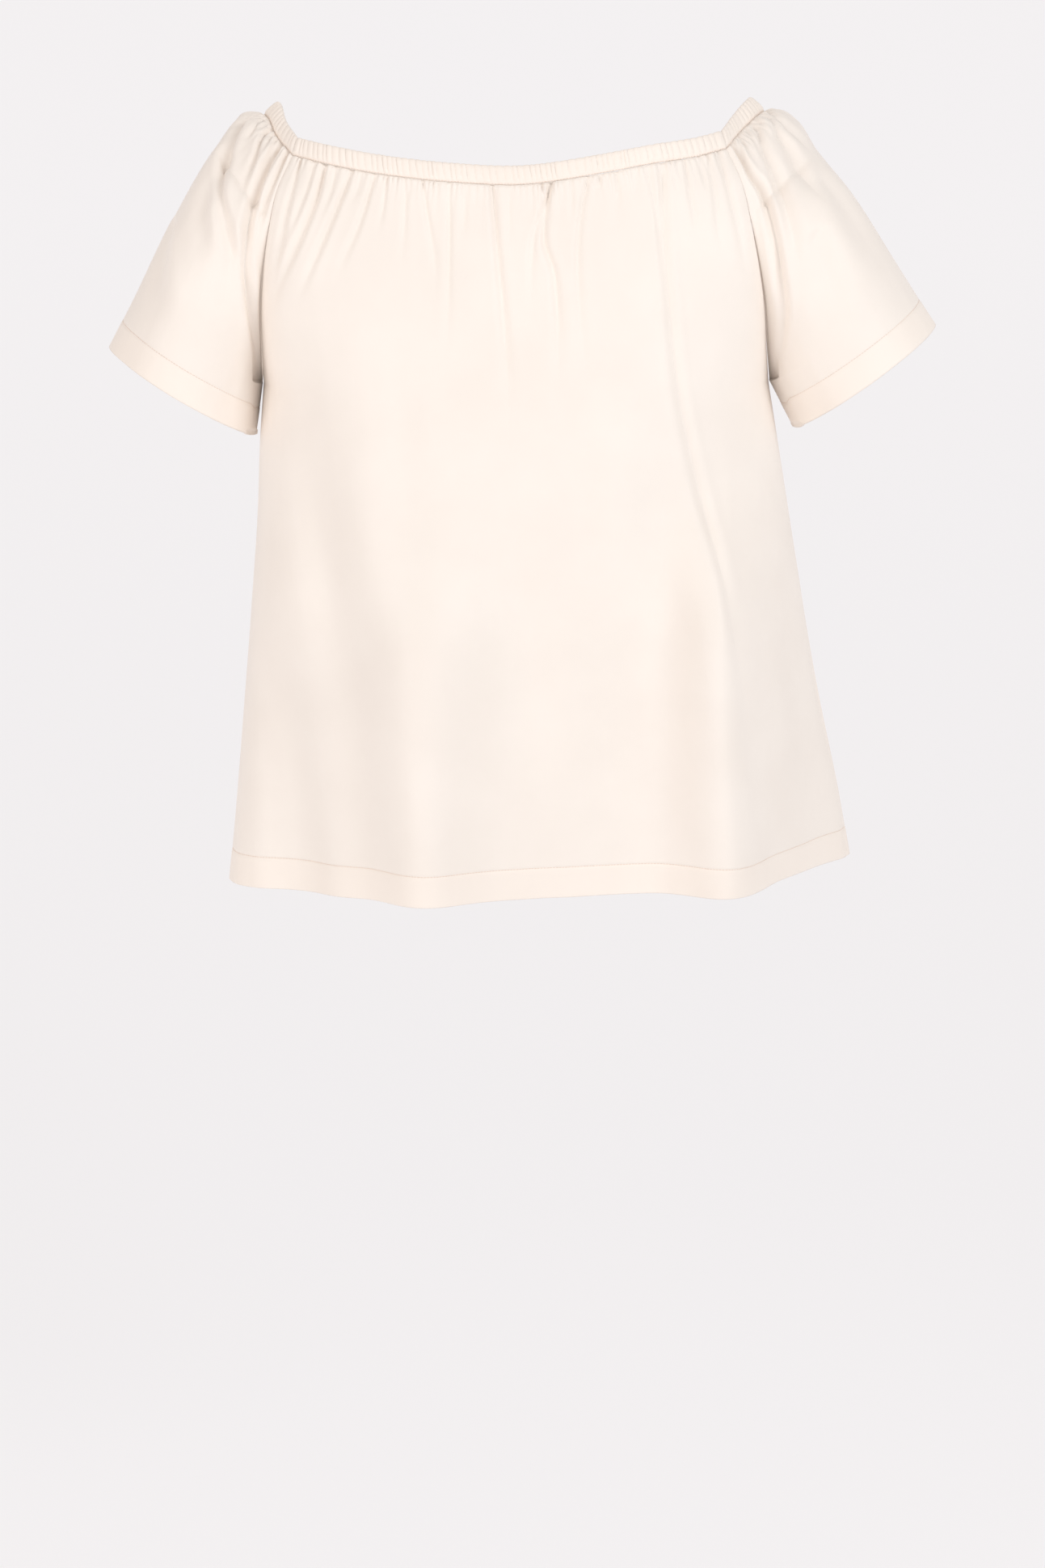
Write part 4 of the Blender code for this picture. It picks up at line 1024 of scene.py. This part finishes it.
def build_sleeve(hand, neck, raglan_front, raglan_back, sections, edges, creases, seed):
    """A sleeve's shell: its form, then its folds, gathers, hem and seams."""
    shares = seam_columns(rib_columns(edges, COLUMNS_PER_RIB["sleeve"]), SLEEVE_ROW)
    even = np.arange(FIRST_EVEN_ROW, RAGLAN_LENGTH, SLEEVE_ROW_STEP)
    raglan_shares = np.append(np.concatenate([CLOSE_ROWS, even]) / RAGLAN_LENGTH, 1.0)
    falls = np.linspace(0, 1, 31)[1:]
    if (len(raglan_shares) + len(falls)) % 2 == 0:
        raglan_shares = np.delete(raglan_shares, 30)
    rows, neck_up, faces, down = sleeve_form(hand, neck, raglan_front, raglan_back, sections,
                                             raglan_shares, falls, shares)
    out = surface_out(rows)
    middle = rows.shape[1] // 2
    outward = -1 if hand == "left" else 1
    if out[len(out) // 4, middle, 0] * outward < 0:
        out = -out
    neck_out = unit(np.cross(neck_up, np.gradient(rows[0], axis=0)))
    neck_out *= np.sign((neck_out * out[0]).sum(-1, keepdims=True))
    below = lengths_below(rows)
    blend = ease(below / 10.0)[..., None]
    out = unit(out * blend + neck_out[None] * (1 - blend))
    row_mm = row_lengths(rows)
    across = np.broadcast_to(shares[None, :], rows.shape[:2])
    fall = np.broadcast_to(down[:, None], rows.shape[:2])
    edge = np.minimum(shares, 1 - shares) * CAD_COLUMNS["sleeve"]
    push = hand_creases(across, fall, creases, row_mm[:, None]) * ease(edge / 0.6)[None]
    push += gathers(shares, below, row_mm, edges, seed, **SLEEVE_GATHERS) * ease(edge / 0.2)[None]
    across_mm = (shares[None, :] - 0.5) * row_mm[:, None]
    push += (0.5 * soft_noise(across_mm / 24 + 7, below / 120, seed + 3)
             + 0.25 * soft_noise(across_mm / 9 + 3, below / 70, seed + 4)) * ease(edge / 1.5)[None]
    up = below[-1:] - below
    push += hem_lines(across, up, row_mm[:, None], SLEEVE_HEM, seed + 6) * ease(edge / 0.4)[None]
    push += seam_roll(shares, row_mm)
    push -= 0.5 * np.exp(-(below / 1.0) ** 2)
    thickness = np.where(up[:, middle] < SLEEVE_HEM, HEM_CLOTH, CLOTH)
    piece, grid = finish_shell("sleeve_" + hand + "_cloth", rows, out, push, thickness, faces["front"],
                               faces["back"], len(raglan_shares), ((outward, 0, 0), (outward, 0, 0)),
                               ((0, -1, 0), (0, 1, 0)), up < SLEEVE_HEM + 0.2)
    return piece, grid, up


sleeve_left_cloth, left_grid, left_up = build_sleeve(
    "left", NECK_LEFT[::-1], RAGLAN_FRONT_LEFT, RAGLAN_BACK_LEFT, SLEEVE_LEFT_SECTIONS, LEFT_EDGES,
    LEFT_CREASES, LEFT_SEED)
sleeve_right_cloth, right_grid, right_up = build_sleeve(
    "right", NECK_RIGHT, RAGLAN_FRONT_RIGHT, RAGLAN_BACK_RIGHT, SLEEVE_RIGHT_SECTIONS, RIGHT_EDGES,
    RIGHT_CREASES, RIGHT_SEED)

# %% [markdown]
# ## Neck casing
#
# The top of the panels is turned over and stitched down round an elastic. Pulled together, it
# stands in ribs, each rounded, with a sharp parting between two.

# %% Neck casing
CASING_RING_COLUMNS = ("rise", "stand", "puff")
CASING_RING = (
    (0.35, -0.35, 0.15),
    (0.45, -1.60, 0.00),
    (4.50, -2.20, -0.15),
    (10.0, -2.20, -0.20),
    (13.6, -1.70, -0.10),
    (14.7, -1.00, 0.20),
    (15.0, -0.30, 0.50),
    (14.7, 0.35, 0.80),
    (13.6, 0.80, 1.00),
    (11.4, 0.95, 1.10),
    (8.6, 0.95, 1.10),
    (5.8, 0.90, 1.05),
    (3.6, 0.70, 0.90),
    (2.1, 0.35, 0.60),
    (1.3, -0.05, 0.30),
    (0.8, -0.30, 0.15),
)
GROOVE_RING = 15


def build_casing(place, neck, edges, first_face, last_face, slant, seed):
    """One length of the casing: a flat tunnel whose outer side puffs between two gathers."""
    shares = rib_columns(edges, CASING_COLUMNS_PER_RIB)
    k = np.clip(np.searchsorted(edges, shares, side="right") - 1, 0, len(edges) - 2)
    phase = (shares - edges[k]) / (edges[k + 1] - edges[k])
    draw = np.random.RandomState(seed)
    size = draw.uniform(0.72, 1.15, len(edges) - 1)[k]
    dome = (1 - np.abs(2 * phase - 1) ** 2.6) * size
    total = np.linalg.norm(np.diff(neck_line(neck, np.linspace(0, 1, 200))[0], axis=0), axis=1).sum() / MM
    from_end = np.minimum(shares, 1 - shares) * total
    dome *= ease(from_end / 3.0)
    wander = draw.uniform(-0.7, 0.7, len(edges) - 1)[k]
    ends = ease(from_end / 14.0)
    rings = []
    for rise, stand, puff in CASING_RING:
        lean = (slant + wander) * ends * (rise / CASING_WIDTH)
        points, up = neck_line(neck, np.clip(shares + lean / total, 0, 1))
        tangent = unit(np.gradient(points, axis=0))
        outward = unit(np.cross(up, tangent))
        outward *= np.sign((points[:, :2] * outward[:, :2]).sum(-1, keepdims=True))
        for end, face in ((0, first_face), (-1, last_face)):
            face = np.array(face[3:], float)
            outward[end] = unit(face - face.dot(up[end]) * up[end])
            mitre = unit(np.cross(outward[end], up[end]))
            mitre *= np.sign(mitre.dot(tangent[end]))
            points[end] += (mitre if end == 0 else -mitre) * SEAM_GAP / 2
        top = 0.35 * dome * ease((rise - 11.0) / 3.0)
        rings.append(points + up * ((rise + top) * MM)[:, None]
                     + outward * ((stand + 0.95 * puff * dome) * MM)[:, None])
    ring = np.stack(rings, axis=1)
    count, sides = ring.shape[:2]
    index = np.arange(count * sides).reshape(count, sides)
    after = np.roll(index, -1, axis=1)
    faces = [quads(index[:-1], after[:-1], after[1:], index[1:])]
    fan = np.arange(1, sides - 1)
    for row, order in ((index[0], 1), (index[-1], -1)):
        middle = len(CASING_RING) // 2
        order_ring = np.roll(row, -middle // 2)
        cap = np.stack([np.full(sides - 2, order_ring[0]), order_ring[fan + 1], order_ring[fan]], -1)
        faces.append(cap[:, ::order])
    piece = make_mesh("casing_" + place + "_cloth", ring.reshape(-1, 3), np.concatenate(faces), FOLDED_LOOK)
    return piece, ring[:, GROOVE_RING], outward


CASINGS = (
    ("front", NECK_FRONT, FRONT_EDGES, RAGLAN_FRONT_LEFT[0], RAGLAN_FRONT_RIGHT[0], -2.0),
    ("right", NECK_RIGHT, RIGHT_EDGES, RAGLAN_FRONT_RIGHT[0], RAGLAN_BACK_RIGHT[0], -1.6),
    ("back", NECK_BACK, 1 - BACK_EDGES[::-1], RAGLAN_BACK_RIGHT[0], RAGLAN_BACK_LEFT[0], 1.2),
    ("left", NECK_LEFT, 1 - LEFT_EDGES[::-1], RAGLAN_BACK_LEFT[0], RAGLAN_FRONT_LEFT[0], 1.6),
)
casings = {}
grooves = {}
for number, (place, neck, edges, first, last, slant) in enumerate(CASINGS):
    casings[place], line, outward = build_casing(place, neck, edges, first, last, slant, CASING_SEED + number)
    grooves[place] = (line, outward)

# %% [markdown]
# ## Stitching
#
# A row of topstitching is a run of small capsules, sunk by a third into the groove that they pull.

# %% Stitching


def capsule(length, radius, around=6, rings=(0.6, 1.0)):
    """A thin capsule along x. Its ring sizes follow a circle at both ends."""
    half = length / 2
    stations = [(-half, 0.0)]
    for share in rings:
        stations.append((-half + radius * (1 - math.sqrt(1 - share ** 2)), radius * share))
    stations += [(-x, r) for x, r in stations[::-1]]
    turn = np.linspace(0, 2 * math.pi, around, endpoint=False)
    body = stations[1:-1]
    points = [[stations[0][0], 0, 0]]
    for x, r in body:
        points += [[x, r * math.cos(t), r * math.sin(t)] for t in turn]
    points.append([stations[-1][0], 0, 0])
    ring = 1 + np.arange(len(body) * around).reshape(len(body), around)
    after = np.roll(ring, -1, axis=1)
    faces = [quads(ring[:-1], ring[1:], after[1:], after[:-1])]
    last = len(points) - 1
    faces.append(np.stack([np.zeros(around, int), ring[0], after[0]], -1))
    faces.append(np.stack([np.full(around, last), after[-1], ring[-1]], -1))
    return np.array(points), np.concatenate(faces)


def stitch_line(name, lines, pitch=STITCH_PITCH):
    """Stitches along lines of points, each lying on the surface whose normals are given."""
    draw = np.random.RandomState(STITCH_SEED)
    shape, faces = capsule(STITCH_LENGTH * MM, STITCH_RADIUS * MM)
    points, triangles = [], []
    for line, normals in lines:
        run = np.concatenate([[0], np.cumsum(np.linalg.norm(np.diff(line, axis=0), axis=1))])
        count = max(1, int(run[-1] / (pitch * MM)))
        middle = (np.arange(count) + 0.5) * run[-1] / count
        ends = STITCH_LENGTH * MM / 2
        middle = middle + draw.uniform(-0.08, 0.08, count) * MM

        def at(where, values):
            return np.stack([np.interp(where, run, values[:, i]) for i in range(3)], axis=-1)

        centre = at(middle, line)
        tangent = unit(at(middle + ends, line) - at(middle - ends, line))
        normal = unit(at(middle, normals))
        normal = unit(normal - (normal * tangent).sum(-1, keepdims=True) * tangent)
        side = np.cross(normal, tangent)
        size = draw.uniform(0.92, 1.06, count)
        centre = centre + normal * STITCH_RADIUS * MM * 0.35
        base = len(points) and sum(len(p) for p in points)
        placed = (centre[:, None] + shape[None, :, :1] * tangent[:, None] * size[:, None, None]
                  + shape[None, :, 1:2] * side[:, None] + shape[None, :, 2:] * normal[:, None])
        points.append(placed.reshape(-1, 3))
        offset = base + np.arange(count) * len(shape)
        triangles.append((faces[None] + offset[:, None, None]).reshape(-1, 3))
    return make_mesh(name, np.concatenate(points), np.concatenate(triangles), THREAD_AND_SHADE_LOOK)


def level_line(grid, up, height):
    """The line on a grid that lies at one height above its lower edge, with normals."""
    normals = surface_out(grid)
    middle = grid.shape[1] // 2
    centre = grid.reshape(-1, 3).mean(axis=0)
    flip = np.sign((normals[len(grid) // 2, middle] * (grid[len(grid) // 2, middle] - centre)).sum())
    line, facing = [], []
    for k in range(grid.shape[1]):
        column_up = up[::-1, k]
        line.append([np.interp(height, column_up, grid[::-1, k, i]) for i in range(3)])
        facing.append([np.interp(height, column_up, normals[::-1, k, i]) * flip for i in range(3)])
    return np.array(line), unit(np.array(facing))


def body_up(grid):
    """Height above the lower edge along each column, in mm."""
    below = lengths_below(grid)
    return below[-1:] - below


hem_stitches = stitch_line("hem_stitches", (
    level_line(front_grid, body_up(front_grid), BODY_HEM),
    level_line(back_grid, body_up(back_grid), BODY_HEM)))
sleeve_left_stitches = stitch_line("sleeve_left_stitches", (
    level_line(left_grid, left_up, SLEEVE_HEM),))
sleeve_right_stitches = stitch_line("sleeve_right_stitches", (
    level_line(right_grid, right_up, SLEEVE_HEM),))
neck_stitches = stitch_line("neck_stitches", [
    grooves[place] for place in ("front", "right", "back", "left")], pitch=NECK_STITCH_PITCH)

# %% [markdown]
# ## What each piece is
#
# Every piece rides on the root body, and the solid that each cloth piece stands for is hidden. The
# area of each panel's cloth and the lengths of its rows and middle column are printed.

# %% Attaching the pieces and hiding the solids
REPLACED = (
    (front_cloth, "front_panel"),
    (back_cloth, "back_panel"),
    (sleeve_left_cloth, "sleeve_left"),
    (sleeve_right_cloth, "sleeve_right"),
    (casings["front"], "casing_front"),
    (casings["back"], "casing_back"),
    (casings["left"], "casing_left"),
    (casings["right"], "casing_right"),
)
for piece, node in REPLACED:
    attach(piece, "root")
    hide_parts(node)
for piece in (hem_stitches, sleeve_left_stitches, sleeve_right_stitches, neck_stitches):
    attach(piece, "root")


def skin_area(grid):
    """The area of a grid, in square metres."""
    a = grid[1:, :-1] - grid[:-1, :-1]
    b = grid[:-1, 1:] - grid[:-1, :-1]
    c = grid[1:, 1:] - grid[:-1, 1:]
    d = grid[1:, 1:] - grid[1:, :-1]
    halves = np.linalg.norm(np.cross(a, b), axis=-1) + np.linalg.norm(np.cross(c, d), axis=-1)
    return float(halves.sum() / 2)


for name, grid in (("front", front_grid), ("back", back_grid), ("left", left_grid), ("right", right_grid)):
    widths = row_lengths(grid)
    print(f"{name}: area {skin_area(grid):.4f} m2, rows {widths[0]:.0f} to {widths[-1]:.0f} mm, "
          f"column {lengths_below(grid)[-1, grid.shape[1] // 2]:.0f} mm")

# %% [markdown]
# ## Floor, light and camera
#
# A plain pale sweep, a soft key from the right of the camera and an even fill, so that the folds
# show only as slight shades. The camera looks down by just under ten degrees.

# %% Stage
FLOOR_Z = -1.25
BACK_Y = 2.6
BEND = 1.2
CAMERA_PLACE = (0.0042, -2.8, -0.016)
CAMERA_LENS = 79.57
# In pixels of the photograph: the focal length, and how far the level line is above the middle.
FOCAL_PIXELS = 4288
LEVEL_PIXELS = 738


def sweep():
    """A floor that bends up into a backdrop: a flat run, a quarter circle and a wall."""
    turn = np.linspace(0, math.pi / 2, 33)
    y = np.concatenate([[-6.0], BACK_Y - BEND + BEND * np.sin(turn), [BACK_Y]])
    z = np.concatenate([[FLOOR_Z], FLOOR_Z + BEND * (1 - np.cos(turn)), [4.5]])
    points = np.array([[x, a, b] for x in (-7.0, 7.0) for a, b in zip(y, z)])
    n = len(y)
    k = np.arange(n - 1)
    faces = np.stack([k, k + n, k + n + 1, k + 1], -1)
    mesh = bpy.data.meshes.new("studio_sweep")
    mesh.from_pydata(points.tolist(), [], faces.tolist())
    mesh.shade_smooth()
    floor = bpy.data.objects.new("studio_sweep", mesh)
    bpy.context.scene.collection.objects.link(floor)
    paper = bpy.data.materials.new("studio_paper")
    paper.use_nodes = True
    socket_set(paper.node_tree.nodes["Principled BSDF"], {
        "Base Color": (0.30, 0.295, 0.298, 1.0), "Roughness": 0.9, "Specular IOR Level": 0.0,
        "Emission Color": (0.896, 0.879, 0.888, 1.0), "Emission Strength": 0.72})
    mesh.materials.append(paper)
    return floor


sweep()


def area_light(name, place, aim, size, power, colour):
    """A square soft light at a place, aimed at a point."""
    data = bpy.data.lights.new(name, "AREA")
    data.size = size
    data.energy = power
    data.color = colour
    light = bpy.data.objects.new(name, data)
    light.location = place
    way = np.array(aim, float) - np.array(place, float)
    light.rotation_euler = (math.acos(-way[2] / np.linalg.norm(way)), 0,
                            math.atan2(way[1], way[0]) - math.pi / 2)
    bpy.context.scene.collection.objects.link(light)
    return light


area_light("key", (1.9, -2.1, 1.0), (0.0, 0.0, -0.25), 1.3, 34.0, (0.93, 0.97, 1.0))
area_light("fill", (-2.0, -2.2, 0.4), (0.0, 0.0, -0.3), 1.8, 27.0, (1.0, 0.96, 0.935))

world = bpy.data.worlds.new("studio_air")
world.use_nodes = True
socket_set(world.node_tree.nodes["Background"], {"Color": (1.0, 0.95, 0.915, 1.0), "Strength": 0.54})
bpy.context.scene.world = world

camera_data = bpy.data.cameras.new("photo_camera")
camera_data.sensor_width = 36.0
camera_data.sensor_fit = "AUTO"
camera_data.lens = CAMERA_LENS
camera = bpy.data.objects.new("photo_camera", camera_data)
camera.location = CAMERA_PLACE
camera.rotation_euler = (math.pi / 2 - math.atan2(LEVEL_PIXELS, FOCAL_PIXELS), 0.0, 0.0)
bpy.context.scene.collection.objects.link(camera)
bpy.context.scene.camera = camera
bpy.context.scene.view_settings.view_transform = "Standard"
